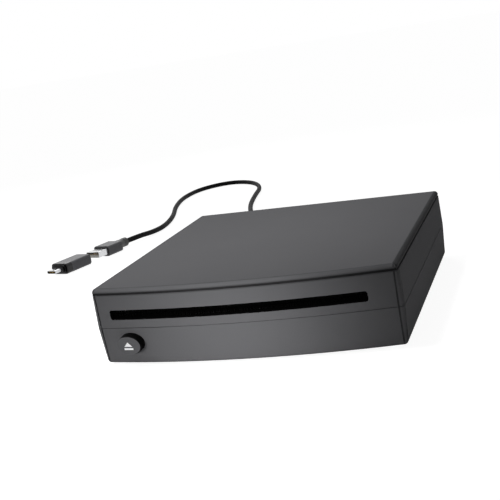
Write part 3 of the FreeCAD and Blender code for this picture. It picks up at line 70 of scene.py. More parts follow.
lead_route = [
    gland_tip,
    (-52.0, 115.117, 19.8),
    (-53.0, 134.0, 9.2),
    (-57.5, 157.0, 2.05),
    (-71.0, 203.0, 2.05),
    (-93.0, 249.0, 2.05),
    (-113.0, 303.0, 2.05),
    (-124.0, 357.0, 2.05),
    (-131.0, 404.0, 2.05),
    (-150.0, 440.0, 2.05),
    (-178.0, 455.0, 2.05),
    (-202.0, 434.0, 2.05),
    (-206.0, 393.0, 2.05),
    (-197.0, 347.0, 2.05),
    (-181.5, 301.0, 2.05),
    (-174.0, 262.0, 2.05),
    (-175.5, 239.0, 2.4),
    behind_plug_mouth(plug_length + straight_to_plug),
    behind_plug_mouth(plug_length),
]

# The lead's braid: strands each way round, the step from strand to strand along the lead, how deep
# the valleys between strands are and how full the strands stand, and the mesh that carries it
braid_strands = 8
braid_pitch = 1.57
braid_depth = 0.17
braid_fullness = 0.6
braid_sides = 32
braid_ring_step = 0.39
lead_line_steps = 24

# Housing, as in the part's source: the front's bow across the width, its lean for each millimetre
# of height, the sides' draft, the rounded edge, the disc slot and the lines cut beside the edges
front_bow = 7.1
front_lean = 1.26 / 20.0
side_draft = 0.75 / 20.0
edge_radius = 2.0
slot_width = 126.2
slot_height = 4.9
slot_centre_x = -3.0
level_line = 1.0
upright_line = 0.7

# Housing's painted shade: how far behind the outer face the painted shade in the lines and on the
# slot's walls begins and how deep it goes, how far the soft painted shade reaches beside the edges,
# and what share of the lines' dark tone each painted shade takes
line_shade_from = 0.14
line_shade_depth = 1.5
upright_shade_share = 0.55
soft_shade_reach = 0.8
soft_shade_share = 0.6
top_shade_reach = 0.6
top_shade_share = 0.45
top_face_depth = 0.3
side_round_shade_share = 0.75
slot_shade_from = 0.06
slot_shade_depth = 2.6
slot_shade_margin = 0.1

# Brushes behind the disc slot, which nearly close it: two strips and the bristles on them
brush_wall_gap = 0.15
brush_thickness = 1.1
brush_edge_share = 0.2
brush_steps = 48
brush_middle_gap = 0.15
bristle_length = 2.0
bristle_shortest_share = 0.9
bristle_step = 0.3
bristle_rows = 3
bristle_sides = 3
bristle_sunk = 0.1
bristle_root = 0.15
bristle_tip = 0.07
bristle_stray = 0.12
bristle_seed = 7

# Eject button: where its axis meets the wall, the way that it faces and where its face begins
button_base = (-57.0, -79.618, 12.4)
button_outward = (-0.14183, -0.98433, -0.10480)
# The grey face begins partway over its rounded rim, so the black there is a painted shade outline
button_face_from = 3.95
button_face_full = 4.08

# Camera: the picture's width and the focal length in pixels, its place in metres and its axes
image_pixels = 500
focal_pixels = 1022.889
sensor_width = 36.0
nearest_shown = 0.01
camera_place = (0.15236, -0.50806, 0.14966)
camera_right = (0.94663517, 0.27973029, -0.16010251)
camera_down = (-0.08947004, -0.24915089, -0.96432305)
camera_forward = (-0.30964005, 0.9271865, -0.21082752)

# Studio: the floor's reach from the middle in metres, and how bright the floor and the world are
# where they are seen and as lights
floor_reach = 6.0
floor_glow = 0.92
floor_shade = 0.45
floor_plain = 0.8
world_bright = 0.3
world_dark = 0.0106
world_dark_side = (0.93, -0.37, 0.0)

# Lamps: name, place, target and size (all in metres), spread in degrees and power in watts
lamp_list = [
    ("front_left", (-0.30, -0.68, 0.12), (-0.045, -0.085, 0.02), (0.08, 0.08), 14, 0.0117),
    ("front_middle", (-0.10, -0.76, 0.10), (0.002, -0.085, 0.02), (0.05, 0.05), 11, 0.0145),
    ("overhead_left", (-0.28, -0.05, 0.65), (-0.06, 0.0, 0.04), (0.30, 0.30), 36, 0.211),
    ("rear_left", (-0.45, 0.80, 0.45), (-0.08, 0.05, 0.04), (0.5, 0.3), 90, 0.322),
]


# Housing's shape, in metres


def bow_radius():
    """The radius of the bowed front, from its bow across the housing's width."""
    low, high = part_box("top_cover")
    half = (high[0] - low[0]) / 2
    bow = front_bow * MM
    return (half**2 + bow**2) / (2 * bow)


def slot_middle():
    """The height of the slot's middle, halfway between the guide's flat and the roller's crown."""
    guide_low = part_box("disc_guide")[0][2]
    roller_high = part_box("loading_roller")[1][2]
    return (guide_low + roller_high) / 2


def front_corner_y():
    """Where the bow meets the sides at the seam, behind the lower case's foremost place."""
    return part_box("bottom_case")[0][1] + front_bow * MM


def make_camera():
    data = bpy.data.cameras.new("camera")
    data.lens = focal_pixels / image_pixels * sensor_width
    data.sensor_width = sensor_width
    data.clip_start = nearest_shown
    camera = bpy.data.objects.new("camera", data)
    bpy.context.scene.collection.objects.link(camera)
    up = [-value for value in camera_down]
    back = [-value for value in camera_forward]
    columns = [list(camera_right), up, back]
    turn = Matrix([[columns[c][r] for c in range(3)] for r in range(3)])
    camera.matrix_world = Matrix.Translation(camera_place) @ turn.to_4x4()
    bpy.context.scene.camera = camera


# Node trees


class Nodes:
    """A new material's node tree, with short ways to add and join nodes."""

    def __init__(self, name):
        self.slot_name = name
        self.material = bpy.data.materials.new(name)
        self.material.use_nodes = True
        self.tree = self.material.node_tree
        self.shader = self.tree.nodes["Principled BSDF"]

    def add(self, kind, **settings):
        node = self.tree.nodes.new(kind)
        for key, value in settings.items():
            setattr(node, key, value)
        return node

    def join(self, output, target):
        self.tree.links.new(output, target)

    def place(self):
        return self.add("ShaderNodeTexCoord").outputs["Object"]

    def along_lead(self):
        return self.add("ShaderNodeUVMap", uv_map="along_lead").outputs["UV"]

    def stretched(self, place, scale):
        node = self.add("ShaderNodeMapping")
        node.inputs["Scale"].default_value = scale
        self.join(place, node.inputs["Vector"])
        return node.outputs["Vector"]

    def noise(self, scale, place, detail=3.0, roughness=0.5):
        """Soft random tone, with a scale in cells to the metre."""
        node = self.add("ShaderNodeTexNoise")
        node.inputs["Scale"].default_value = scale
        node.inputs["Detail"].default_value = detail
        node.inputs["Roughness"].default_value = roughness
        self.join(place, node.inputs["Vector"])
        return node.outputs["Fac"]

    def cells(self, scale, place):
        """The distance to the nearest of many scattered points."""
        node = self.add("ShaderNodeTexVoronoi")
        node.inputs["Scale"].default_value = scale
        self.join(place, node.inputs["Vector"])
        return node.outputs["Distance"]

    def ramp(self, factor, *stops):
        node = self.add("ShaderNodeValToRGB")
        elements = node.color_ramp.elements
        while len(elements) < len(stops):
            elements.new(0.5)
        for element, (position, color) in zip(elements, stops):
            element.position = position
            element.color = (*color, 1.0)
        self.join(factor, node.inputs["Fac"])
        return node.outputs["Color"]

    def toned(self, factor, darker, lighter, start=0.3, end=0.7):
        """A colour from a darker to a lighter tone, both as shown from 0 to 255."""
        return self.ramp(factor, (start, shown(*darker)), (end, shown(*lighter)))

    def math(self, operation, *values):
        """A sum, product or comparison of sockets and plain numbers."""
        node = self.add("ShaderNodeMath", operation=operation)
        for value, socket in zip(values, node.inputs):
            if isinstance(value, (int, float)):
                socket.default_value = value
            else:
                self.join(value, socket)
        return node.outputs["Value"]

    def scaled(self, factor, low, high, start=0.0, end=1.0):
        """From low to high while the factor goes from start to end, and held outside them."""
        node = self.add("ShaderNodeMapRange")
        node.inputs["From Min"].default_value = start
        node.inputs["From Max"].default_value = end
        node.inputs["To Min"].default_value = low
        node.inputs["To Max"].default_value = high
        self.join(factor, node.inputs["Value"])
        return node.outputs["Result"]

    def mixed(self, factor, first, second):
        """The first colour where the factor is 0 and the second where it is 1."""
        node = self.add("ShaderNodeMix", data_type="RGBA")
        self.join(factor, node.inputs["Factor"])
        for colour, socket in ((first, node.inputs["A"]), (second, node.inputs["B"])):
            self.join(colour, socket)
        return node.outputs["Result"]

    def bump(self, height, distance, strength=1.0, under=None):
        node = self.add("ShaderNodeBump")
        node.inputs["Strength"].default_value = strength
        node.inputs["Distance"].default_value = distance
        self.join(height, node.inputs["Height"])
        if under:
            self.join(under, node.inputs["Normal"])
        return node.outputs["Normal"]

    def colour(self, socket):
        self.join(socket, self.shader.inputs["Base Color"])

    def rough(self, factor, low, high):
        self.join(self.scaled(factor, low, high), self.shader.inputs["Roughness"])

    def uneven(self, height, distance, under=None):
        """Bumps over the whole surface, on top of others where those are given."""
        self.join(self.bump(height, distance, under=under), self.shader.inputs["Normal"])

    def set(self, **values):
        for key, value in values.items():
            self.shader.inputs[key.replace("_", " ")].default_value = value


def srgb(value):
    """A shown grey or colour, 0 to 255, as the linear value that a shader takes."""
    part = value / 255
    return part / 12.92 if part <= 0.04045 else ((part + 0.055) / 1.055) ** 2.4


def shown(red, green, blue):
    return (srgb(red), srgb(green), srgb(blue))


def neighbours(colour, spread):
    """A colour's darker and lighter neighbours."""
    darker = [part * (1 - spread) for part in colour]
    lighter = [min(part * (1 + spread), 1.0) for part in colour]
    return darker, lighter


def clouded(made, factor, colour, spread, start=0.3, end=0.7):
    """A colour that drifts between its darker and lighter neighbours."""
    darker, lighter = neighbours(colour, spread)
    return made.ramp(factor, (start, darker), (end, lighter))


def moulded(name, colour, roughness, grain, depth, spread=0.06):
    """Moulded plastic: a fine spark-eroded grain, faint clouds of tone and a soft uneven gloss."""
    made = Nodes(name)
    place = made.place()
    fine = made.noise(grain, place, detail=2.0)
    made.colour(clouded(made, made.noise(35.0, place, detail=4.0), colour, spread))
    made.rough(fine, roughness - 0.06, roughness + 0.06)
    made.uneven(fine, depth)
    return made


def metal(name, colour, roughness):
    """Metal with fine drawn lines along Y and patches of tone."""
    made = Nodes(name)
    place = made.place()
    lines = made.noise(1.0, made.stretched(place, (900.0, 60.0, 900.0)), detail=4.0)
    made.colour(clouded(made, made.noise(60.0, place), colour, spread=0.08))
    made.rough(lines, roughness * 0.8, roughness * 1.25)
    made.uneven(lines, 0.000004)
    made.set(Metallic=1.0)
    return made


def near_value(made, socket, middle, reach):
    """1 where a value lies within a reach of a middle, and 0 elsewhere."""
    away = made.math("ABSOLUTE", made.math("SUBTRACT", socket, middle))
    return made.math("LESS_THAN", away, reach)


def behind_front(made, x, y, z):
    """How far a place lies behind the bowed and leaning front wall, in metres."""
    low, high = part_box("top_cover")
    radius = bow_radius()
    lean = made.math("MULTIPLY_ADD", z, front_lean, y)
    crown_y = low[1] + (high[2] - edge_radius * MM) * front_lean
    flat = made.add("ShaderNodeCombineXYZ")
    made.join(x, flat.inputs["X"])
    made.join(made.math("SUBTRACT", lean, crown_y + radius), flat.inputs["Y"])
    distance = made.add("ShaderNodeVectorMath", operation="LENGTH")
    made.join(flat.outputs["Vector"], distance.inputs[0])
    return made.math("SUBTRACT", radius, distance.outputs["Value"])


def inside_side(made, x, z):
    """How far a place lies inside the nearer side wall, in metres."""
    low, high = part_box("top_cover")
    draft = made.math("MULTIPLY_ADD", z, -side_draft, high[0] + low[2] * side_draft)
    return made.math("SUBTRACT", draft, made.math("ABSOLUTE", x))


def sunk(made, depth, start, down_to):
    """0 on an outer face, 1 from a start depth down to another in millimetres, and 0 below that."""
    begun = made.scaled(depth, 0.0, 1.0, start * MM, 2 * start * MM)
    return made.math("MULTIPLY", begun, made.math("LESS_THAN", depth, down_to * MM))


def slot_shade_mask(made, x, z, front_depth):
    """Painted shade's place: 1 on the disc slot's walls, from just behind the bowed front, 0
    elsewhere.
    """
    half_height = slot_height / 2 + slot_shade_margin
    half_width = slot_width / 2 + slot_shade_margin
    level = near_value(made, z, slot_middle(), half_height * MM)
    across = near_value(made, x, slot_centre_x * MM, half_width * MM)
    behind = sunk(made, front_depth, slot_shade_from, slot_shade_depth)
    return made.math("MULTIPLY", behind, made.math("MULTIPLY", level, across))


def painted_edge_shade(made, x, y, z, front_depth):
    """How much painted shade a place takes: full in the level line, less beside the edges."""
    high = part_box("top_cover")[1]
    side_depth = inside_side(made, x, z)
    wall_depth = made.math("MINIMUM", side_depth, front_depth)
    wall_depth = made.math("MINIMUM", wall_depth, made.math("SUBTRACT", high[1], y))

    # Painted shade in the level line's groove
    half_line = level_line / 2 * MM
    level_z = high[2] - edge_radius * MM - half_line
    from_line = made.math("ABSOLUTE", made.math("SUBTRACT", z, level_z))
    in_line = made.math("LESS_THAN", from_line, half_line)
    level = made.math("MULTIPLY", in_line, sunk(made, wall_depth, line_shade_from, line_shade_depth))

    # Soft painted shade on the round just above and below the level line
    outer = made.math("LESS_THAN", wall_depth, line_shade_depth * MM)
    fading = made.scaled(from_line, soft_shade_share, 0.0, half_line, half_line + soft_shade_reach * MM)
    soft = made.math("MULTIPLY", outer, fading)

    # A painted dark reflection along the edge of the top face
    on_top = made.math("GREATER_THAN", z, high[2] - top_face_depth * MM)
    from_round = made.math("ABSOLUTE", made.math("SUBTRACT", wall_depth, edge_radius * MM))
    fading = made.scaled(from_round, top_shade_share, 0.0, 0.0, top_shade_reach * MM)
    top_edge_shade = made.math("MULTIPLY", on_top, fading)

    # Painted shade on the sides' rounded top edges, darker towards the top
    by_side = made.math("LESS_THAN", side_depth, front_depth)
    rounded = made.math("LESS_THAN", side_depth, edge_radius * MM)
    rising = made.scaled(z, 0.0, side_round_shade_share, level_z, high[2] - edge_radius / 2 * MM)
    side_round_shade = made.math("MULTIPLY", made.math("MULTIPLY", by_side, rounded), rising)

    # Painted shade in the upright lines beside the front corners
    half_upright = upright_line / 2 * MM
    upright_x = high[0] - edge_radius * MM - half_upright
    beside = near_value(made, made.math("ABSOLUTE", x), upright_x, half_upright)
    on_front = made.math("MULTIPLY", beside, sunk(made, front_depth, line_shade_from, line_shade_depth))
    upright_y = front_corner_y() + edge_radius * MM + half_upright
    behind = near_value(made, y, upright_y, half_upright)
    on_side = made.math("MULTIPLY", behind, sunk(made, side_depth, line_shade_from, line_shade_depth))
    upright = made.math("MULTIPLY", made.math("MAXIMUM", on_front, on_side), upright_shade_share)

    edge_shade_amount = level
    for other in (soft, top_edge_shade, side_round_shade, upright):
        edge_shade_amount = made.math("MAXIMUM", edge_shade_amount, other)
    return edge_shade_amount


def housing_plastic():
    """Grey moulded plastic: a fine grain over a slow orange peel, with fine light and dark flecks."""
    made = Nodes("housing_plastic")
    place = made.place()
    grain = made.noise(2400.0, place, roughness=0.6)
    peel = made.noise(420.0, place, detail=1.0)
    cloud = made.noise(18.0, place, detail=4.0)
    flecks = made.noise(5200.0, place, detail=1.0)
    tone = shown(100, 100, 102)
    calm = clouded(made, cloud, tone, 0.035)
    flecked = clouded(made, flecks, tone, 0.10, 0.35, 0.65)
    grey = made.mixed(made.scaled(grain, 0.15, 0.45), calm, flecked)
    parts = made.add("ShaderNodeSeparateXYZ")
    made.join(place, parts.inputs["Vector"])
    x, y, z = (parts.outputs[axis] for axis in "XYZ")
    front_depth = behind_front(made, x, y, z)
    # Painted shade: the lines and the bands beside the edges take this dark grey
    line = made.toned(grain, (42, 42, 43), (52, 52, 53))
    edge_shaded = made.mixed(painted_edge_shade(made, x, y, z, front_depth), grey, line)
    # Painted shade: the slot's walls are painted near black, as though in deep shade
    slot_shade_colour = made.toned(grain, (6, 6, 6), (12, 12, 12))
    made.colour(made.mixed(slot_shade_mask(made, x, z, front_depth), edge_shaded, slot_shade_colour))
    made.rough(grain, 0.72, 0.86)
    made.uneven(grain, 0.00001, under=made.bump(peel, 0.000012, strength=0.6))
    made.set(Specular_IOR_Level=0.03)
    return made


def button_plastic():
    """The eject button: grey on its face, black down its sides, with a painted shade outline round
    its rim.
    """
    made = Nodes("button_plastic")
    place = made.place()
    grain = made.noise(2600.0, place, detail=2.0)
    offset = made.add("ShaderNodeVectorMath", operation="SUBTRACT")
    offset.inputs[1].default_value = [value * MM for value in button_base]
    made.join(place, offset.inputs[0])
    reach = made.add("ShaderNodeVectorMath", operation="DOT_PRODUCT")
    reach.inputs[1].default_value = button_outward
    made.join(offset.outputs["Vector"], reach.inputs[0])
    height = reach.outputs["Value"]
    # Painted shade: the black runs onto the face's rounded rim as an outline
    on_face = made.scaled(height, 0.0, 1.0, button_face_from * MM, button_face_full * MM)
    face = made.toned(grain, (90, 90, 92), (96, 96, 98))
    side = made.toned(grain, (4, 4, 4), (8, 8, 8))
    made.colour(made.mixed(on_face, side, face))
    made.rough(grain, 0.34, 0.46)
    made.uneven(grain, 0.000008)
    made.set(Specular_IOR_Level=0.04)
    return made


def gloss_black_plastic():
    """Polished black plastic with faint rub marks."""
    made = Nodes("gloss_black_plastic")
    stretched = made.stretched(made.place(), (260.0, 1400.0, 600.0))
    rubs = made.noise(1.0, stretched, detail=5.0)
    made.colour(made.toned(rubs, (8, 8, 8), (14, 14, 15)))
    made.rough(rubs, 0.1, 0.24)
    made.uneven(rubs, 0.000002)
    made.set(Specular_IOR_Level=0.3)
    return made


def anodised_aluminium():
    """Grey anodised aluminium: a fine blasted grain over faint lines along the plug, satin."""
    made = Nodes("grey_aluminium")
    turn = made.add("ShaderNodeMapping")
    turn.inputs["Rotation"].default_value = (0.0, 0.0, plug_turn)
    turn.inputs["Scale"].default_value = (5200.0, 420.0, 5200.0)
    place = made.place()
    made.join(place, turn.inputs["Vector"])
    lines = made.noise(1.0, turn.outputs["Vector"], detail=4.0)
    blast = made.noise(3800.0, place, detail=1.0)
    made.colour(made.toned(lines, (94, 94, 97), (106, 106, 109), 0.25, 0.75))
    made.rough(lines, 0.32, 0.42)
    made.uneven(blast, 0.000004, under=made.bump(lines, 0.000002))
    made.set(Metallic=0.2, Specular_IOR_Level=0.1)
    return made


def felt():
    """Black pile, rough and matt, with paler fibre ends."""
    made = Nodes("felt")
    fibres = made.noise(2600.0, made.place(), detail=4.0, roughness=0.7)
    pile, middle, ends = shown(2, 2, 2), shown(5, 5, 5), shown(11, 11, 11)
    made.colour(made.ramp(fibres, (0.3, pile), (0.62, middle), (0.8, ends)))
    made.rough(fibres, 0.85, 1.0)
    made.uneven(fibres, 0.00015)
    made.set(Specular_IOR_Level=0.03)
    return made


def yarn(made, rise, valley_shade, side, crown_highlight):
    """A strand's colour from painted shade in the valley beside it to a painted highlight on its
    crown.
    """
    stops = zip((0.2, 0.7, 1.0), (shown(*valley_shade), shown(*side), shown(*crown_highlight)))
    return made.ramp(rise, *stops)


def woven_cover():
    """Black woven yarn: filaments along each strand, painted shade in valleys, painted sheen on
    crowns.
    """
    made = Nodes("cord_cover")
    rise = made.add("ShaderNodeAttribute", attribute_name="rise").outputs["Fac"]
    filaments = made.noise(1.0, made.stretched(made.along_lead(), (9.0, 9.0, 1.0)), detail=2.0)
    # Both tones carry painted shade in the valleys and a painted highlight on the crowns
    fresh = yarn(made, rise, (2, 2, 2), (9, 9, 10), (26, 26, 27))
    worn = yarn(made, rise, (3, 3, 3), (13, 13, 14), (38, 38, 40))
    made.colour(made.mixed(filaments, fresh, worn))
    made.rough(filaments, 0.42, 0.62)
    made.uneven(filaments, 0.00006)
    made.set(Specular_IOR_Level=0.05)
    return made


def rubber():
    """Soft black rubber, matt, with fine pores and a dusty bloom."""
    made = Nodes("rubber")
    place = made.place()
    pores = made.noise(3200.0, place)
    bloom = made.noise(90.0, place, detail=4.0)
    made.colour(made.toned(bloom, (22, 22, 23), (34, 34, 35)))
    made.rough(pores, 0.4, 0.6)
    made.uneven(pores, 0.00001)
    return made


def board_mask():
    """Green solder mask with the copper traces and plated holes showing under it."""
    made = Nodes("board")
    place = made.place()
    tracks = made.add("ShaderNodeTexBrick", offset=0.37, squash=0.6)
    sizes = {"Scale": 260.0, "Mortar Size": 0.035, "Brick Width": 1.3, "Row Height": 0.22}
    for socket, value in sizes.items():
        tracks.inputs[socket].default_value = value
    made.join(place, tracks.inputs["Vector"])
    green = (16, 74, 44)
    hole, rim = 0.16, 0.2
    under = made.toned(tracks.outputs["Fac"], green, (44, 122, 74), 0.4, 0.6)
    holes = made.cells(420.0, place)
    pads = made.toned(holes, (196, 176, 120), green, hole, rim)
    on_pad = made.scaled(holes, 1.0, 0.0, hole, rim)
    made.colour(made.mixed(on_pad, under, pads))
    made.rough(holes, 0.22, 0.36)
    made.uneven(tracks.outputs["Fac"], 0.00003)
    return made


def flat_cable():
    """Amber flexible circuit with its conductors as fine copper lines."""
    made = Nodes("flex")
    waves = made.add("ShaderNodeTexWave", wave_type="BANDS", bands_direction="X")
    waves.inputs["Scale"].default_value = 320.0
    made.join(made.place(), waves.inputs["Vector"])
    lines = waves.outputs["Fac"]
    made.colour(made.toned(lines, (140, 84, 30), (206, 140, 66), 0.35, 0.65))
    made.rough(lines, 0.24, 0.34)
    made.uneven(lines, 0.00001)
    return made


def coated_lens():
    """A small moulded lens with a violet coating and a faint haze."""
    made = Nodes("lens_glass")
    haze = made.noise(700.0, made.place())
    made.colour(made.toned(haze, (70, 60, 128), (92, 84, 158)))
    made.rough(haze, 0.03, 0.08)
    made.set(Transmission_Weight=0.5, Coat_Weight=1.0, Coat_Roughness=0.02)
    made.set(Coat_Tint=(0.75, 0.7, 1.0, 1.0))
    return made


def make_materials():
    """One finish for each of the record's material slots."""
    finishes = [
        housing_plastic(),
        button_plastic(),
        moulded("black_plastic", shown(26, 26, 27), 0.45, 2200.0, 0.00001),
        gloss_black_plastic(),
        moulded("white_mark", shown(254, 254, 254), 0.45, 2500.0, 0.000005, spread=0.02),
        felt(),
        rubber(),
        woven_cover(),
        metal("steel", shown(186, 188, 190), 0.34),
        metal("bright_steel", shown(204, 205, 207), 0.2),
        anodised_aluminium(),
        metal("copper_alloy", shown(222, 184, 100), 0.22),
        board_mask(),
        flat_cable(),
        moulded("white_plastic", shown(226, 224, 216), 0.42, 2400.0, 0.00001, spread=0.03),
        coated_lens(),
        metal("magnet", shown(150, 150, 152), 0.3),
    ]
    return {finish.slot_name: finish.material for finish in finishes}


def dress_nodes(finishes):
    slot_of = {entry["node"]: entry["material_slot"] for entry in frame["record"]["subparts"]}
    for name, piece in nodes.items():
        piece.data.materials.clear()
        piece.data.materials.append(finishes[slot_of[name]])


def new_piece(name, mesh_maker):
    mesh = bpy.data.meshes.new(name)
    shape = bmesh.new()
    mesh_maker(shape)
    shape.to_mesh(mesh)
    shape.free()
    piece = bpy.data.objects.new(name, mesh)
    bpy.context.scene.collection.objects.link(piece)
    return piece


def rides_as(piece, finish, slot_name, body, *stands_for):
    piece.data.materials.append(finish)
    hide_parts(*stands_for)
    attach(piece, body)


# Lead


def lead_line():
    """Points on the lead's smooth centreline, in metres."""
    curve = bpy.data.curves.new("lead_line", "CURVE")
    curve.dimensions = "3D"
    spline = curve.splines.new("NURBS")
    spline.points.add(len(lead_route) - 1)
    for point, place in zip(spline.points, lead_route):
        point.co = (*(value * MM for value in place), 1.0)
    spline.order_u = 3
    spline.use_endpoint_u = True
    curve.resolution_u = lead_line_steps
    holder = bpy.data.objects.new("lead_line", curve)
    line = bpy.data.meshes.new_from_object(holder)
    points = [vertex.co.copy() for vertex in line.vertices]
    bpy.data.objects.remove(holder)
    return points


def evenly_along(points, step):
    """Points a step apart on a line of points, with both of its ends."""
    reached = [0.0]
    for before, after in zip(points, points[1:]):
        reached.append(reached[-1] + (after - before).length)
    count = round(reached[-1] / step)
    placed = []
    index = 0
    for number in range(count + 1):
        wanted = reached[-1] * number / count
        while index < len(points) - 2 and reached[index + 1] < wanted:
            index += 1
        share = (wanted - reached[index]) / (reached[index + 1] - reached[index])
        placed.append(points[index].lerp(points[index + 1], min(share, 1.0)))
    return placed


def strand_rise(around, along):
    """How high the braid stands, 0 to 1, at a place counted in strands around and along the lead."""
    right = around + along
    left = around - along
    right_on_top = (math.floor(right) + math.floor(left)) % 2 == 0
    across = right if right_on_top else left
    return math.sin(math.pi * (across - math.floor(across))) ** braid_fullness


def braided_tube(shape, points):
    rise_layer = shape.verts.layers.float.new("rise")
    uv_layer = shape.loops.layers.uv.new("along_lead")
    side = Vector((0.0, 0.0, 1.0))
    travelled = 0.0
    rings = []
    places = {}
    for index, point in enumerate(points):
        ahead = points[min(index + 1, len(points) - 1)]
        behind = points[max(index - 1, 0)]
        heading = (ahead - behind).normalized()
        side = (side - heading * side.dot(heading)).normalized()
        other = heading.cross(side)
        if index:
            travelled += (point - points[index - 1]).length
        ring = []
        for step in range(braid_sides):
            angle = 2 * math.pi * step / braid_sides
            around = braid_strands * step / braid_sides
            along = travelled / (braid_pitch * MM)
            rise = strand_rise(around, along)
            radius = (cord_diameter / 2 - braid_depth * (1 - rise)) * MM
            outward = side * math.cos(angle) + other * math.sin(angle)
            vertex = shape.verts.new(point + outward * radius)
            vertex[rise_layer] = rise
            places[vertex] = (around, along)
            ring.append(vertex)
        rings.append(ring)
    for near, far in zip(rings, rings[1:]):
        for step in range(braid_sides):
            following = (step + 1) % braid_sides
            face = shape.faces.new((near[step], near[following], far[following], far[step]))
            face.smooth = True
            for loop in face.loops:
                around, along = places[loop.vert]
                if following == 0 and around == 0:
                    around = braid_strands
                loop[uv_layer].uv = (around, along)
    shape.faces.new(reversed(rings[0]))
    shape.faces.new(rings[-1])
    bmesh.ops.recalc_face_normals(shape, faces=shape.faces[:])


def make_lead(finish):
    line = lead_line()
    points = evenly_along(line, braid_ring_step * MM)
    piece = new_piece("braided_lead", lambda shape: braided_tube(shape, points))
    rides_as(piece, finish, "cord_cover", "housing", "usb_cord")


# Brushes behind the slot


def brush_row(shape, space, strip_low, strip_high, toward_middle, chance):
    """A carrier strip along the bow and its bristles, which point up (1) or down (-1)."""
    low, high = space
    radius = bow_radius()
    free_edge = strip_high if toward_middle > 0 else strip_low

    def wall_y(x, z):
        bow = radius - math.sqrt(radius**2 - x**2)
        return low[1] + brush_wall_gap * MM + (high[2] - z) * front_lean + bow

    thick = brush_thickness * MM
    soft = thick * brush_edge_share
    corners = [
        (soft, strip_low),
        (thick - soft, strip_low),
        (thick, strip_low + soft),
        (thick, strip_high - soft),
        (thick - soft, strip_high),
        (soft, strip_high),
        (0, strip_high - soft),
        (0, strip_low + soft),
    ]
    rings = []
    for number in range(brush_steps + 1):
        x = low[0] + (high[0] - low[0]) * number / brush_steps
        rings.append([shape.verts.new((x, wall_y(x, z) + back, z)) for back, z in corners])
    for near, far in zip(rings, rings[1:]):
        for index in range(len(corners)):
            following = (index + 1) % len(corners)
            shape.faces.new((near[index], near[following], far[following], far[index]))
    shape.faces.new(rings[0])
    shape.faces.new(reversed(rings[-1]))
    count = int((high[0] - low[0]) / (bristle_step * MM)) - 1
    for row in range(bristle_rows):
        back = thick * (row + 0.5) / bristle_rows
        for number in range(count):
            x = low[0] + (number + 0.5 + 0.5 * (row % 2)) * bristle_step * MM
            add_bristle(shape, (x, wall_y(x, free_edge) + back, free_edge), toward_middle, chance)


def add_bristle(shape, root, toward_middle, chance):
    """One tapering bristle from just inside its strip, with a tip that strays a little."""
    stray = bristle_stray * MM
    rise = toward_middle * bristle_length * MM * chance.uniform(bristle_shortest_share, 1.0)
    tip_x = root[0] + chance.uniform(-stray, stray)
    tip_y = root[1] + chance.uniform(-stray, stray)
    tip = (tip_x, tip_y, root[2] + rise)
    start = (root[0], root[1], root[2] - toward_middle * bristle_sunk * MM)
    rings = []
    for (x, y, z), radius in ((start, bristle_root), (tip, bristle_tip)):
        ring = []
        for corner in range(bristle_sides):
            angle = corner * 2 * math.pi / bristle_sides
            across = math.cos(angle) * radius * MM
            deep = math.sin(angle) * radius * MM
            ring.append(shape.verts.new((x + across, y + deep, z)))
        rings.append(ring)
    near, far = rings
    for corner in range(bristle_sides):
        following = (corner + 1) % bristle_sides
        shape.faces.new((near[corner], near[following], far[following], far[corner]))
    shape.faces.new(far)


def make_brushes(finish):
    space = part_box("dust_felts")
    low, high = space
    middle = slot_middle()
    reach = (bristle_length + brush_middle_gap) * MM
    chance = random.Random(bristle_seed)

    def both(shape):
        brush_row(shape, space, low[2], middle - reach, 1, chance)
        brush_row(shape, space, middle + reach, high[2], -1, chance)
        bmesh.ops.recalc_face_normals(shape, faces=shape.faces[:])

    piece = new_piece("slot_brushes", both)
    rides_as(piece, finish, "felt", "housing", "dust_felts")


# Studio


def seen_directly(tree):
    """1 for camera, glossy and transmission rays, which show what they reach, and 0 otherwise."""
    path = tree.nodes.new("ShaderNodeLightPath")
    seen = path.outputs["Is Camera Ray"]
    for other in ("Is Glossy Ray", "Is Transmission Ray"):
        either = tree.nodes.new("ShaderNodeMath")
        either.operation = "MAXIMUM"
        tree.links.new(seen, either.inputs[0])
        tree.links.new(path.outputs[other], either.inputs[1])
        seen = either.outputs[0]
    return seen


def studio_light(tree):
    """How strongly the studio lights the object from each direction: bright, with one dark side."""
    coordinates = tree.nodes.new("ShaderNodeTexCoord")
    toward_dark = tree.nodes.new("ShaderNodeVectorMath")
    toward_dark.operation = "DOT_PRODUCT"
    toward_dark.inputs[1].default_value = world_dark_side
    tree.links.new(coordinates.outputs["Generated"], toward_dark.inputs[0])
    strength = tree.nodes.new("ShaderNodeMapRange")
    strength.name = "plain light"
    strength.inputs["From Min"].default_value = -1.0
    strength.inputs["To Min"].default_value = world_bright
    strength.inputs["To Max"].default_value = world_dark
    tree.links.new(toward_dark.outputs["Value"], strength.inputs["Value"])
    return strength.outputs["Result"]


def make_world():
    world = bpy.data.worlds.new("studio")
    bpy.context.scene.world = world
    world.use_nodes = True
    tree = world.node_tree
    tree.nodes.clear()
    output = tree.nodes.new("ShaderNodeOutputWorld")
    plain = tree.nodes.new("ShaderNodeBackground")
    plain.inputs["Color"].default_value = (1, 1, 1, 1)
    tree.links.new(studio_light(tree), plain.inputs["Strength"])
    white = tree.nodes.new("ShaderNodeBackground")
    white.inputs["Color"].default_value = (1, 1, 1, 1)
    white.inputs["Strength"].default_value = 1.0
    mix = tree.nodes.new("ShaderNodeMixShader")
    tree.links.new(seen_directly(tree), mix.inputs[0])
    tree.links.new(plain.outputs[0], mix.inputs[1])
    tree.links.new(white.outputs[0], mix.inputs[2])
    tree.links.new(mix.outputs[0], output.inputs["Surface"])


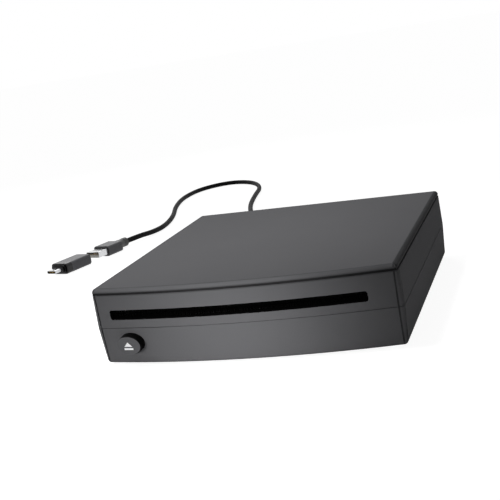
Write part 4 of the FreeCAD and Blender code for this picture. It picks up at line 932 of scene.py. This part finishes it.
def make_floor():
    """A white floor that keeps a soft shadow and shows as white as the world behind it."""

    def plane(shape):
        corners = ((-1, -1), (1, -1), (1, 1), (-1, 1))
        shape.faces.new([shape.verts.new((x * floor_reach, y * floor_reach, 0)) for x, y in corners])

    floor = new_piece("studio_floor", plane)
    material = bpy.data.materials.new("floor_white")
    material.use_nodes = True
    tree = material.node_tree
    tree.nodes.clear()
    output = tree.nodes.new("ShaderNodeOutputMaterial")
    plain = tree.nodes.new("ShaderNodeBsdfDiffuse")
    plain.inputs["Color"].default_value = (floor_plain, floor_plain, floor_plain, 1)
    shade = tree.nodes.new("ShaderNodeBsdfDiffuse")
    shade.inputs["Color"].default_value = (floor_shade, floor_shade, floor_shade, 1)
    glow = tree.nodes.new("ShaderNodeEmission")
    glow.inputs["Strength"].default_value = floor_glow
    shown_floor = tree.nodes.new("ShaderNodeAddShader")
    tree.links.new(shade.outputs[0], shown_floor.inputs[0])
    tree.links.new(glow.outputs[0], shown_floor.inputs[1])
    mix = tree.nodes.new("ShaderNodeMixShader")
    tree.links.new(seen_directly(tree), mix.inputs[0])
    tree.links.new(plain.outputs[0], mix.inputs[1])
    tree.links.new(shown_floor.outputs[0], mix.inputs[2])
    tree.links.new(mix.outputs[0], output.inputs["Surface"])
    floor.data.materials.append(material)


def area_lamp(name, place, target, size, spread, power):
    data = bpy.data.lights.new(name, "AREA")
    data.shape = "RECTANGLE"
    data.size, data.size_y = size
    data.spread = math.radians(spread)
    data.energy = power
    lamp = bpy.data.objects.new(name, data)
    bpy.context.scene.collection.objects.link(lamp)
    lamp.location = place
    lamp.rotation_euler = (Vector(target) - Vector(place)).to_track_quat("-Z", "Y").to_euler()


def make_lamps():
    for name, place, target, size, spread, power in lamp_list:
        area_lamp(name, place, target, size, spread, power)


bpy.context.scene.view_settings.view_transform = "Standard"
make_camera()
finishes = make_materials()
make_lead(finishes["cord_cover"])
dress_nodes(finishes)
make_brushes(finishes["felt"])
make_floor()
make_world()
make_lamps()
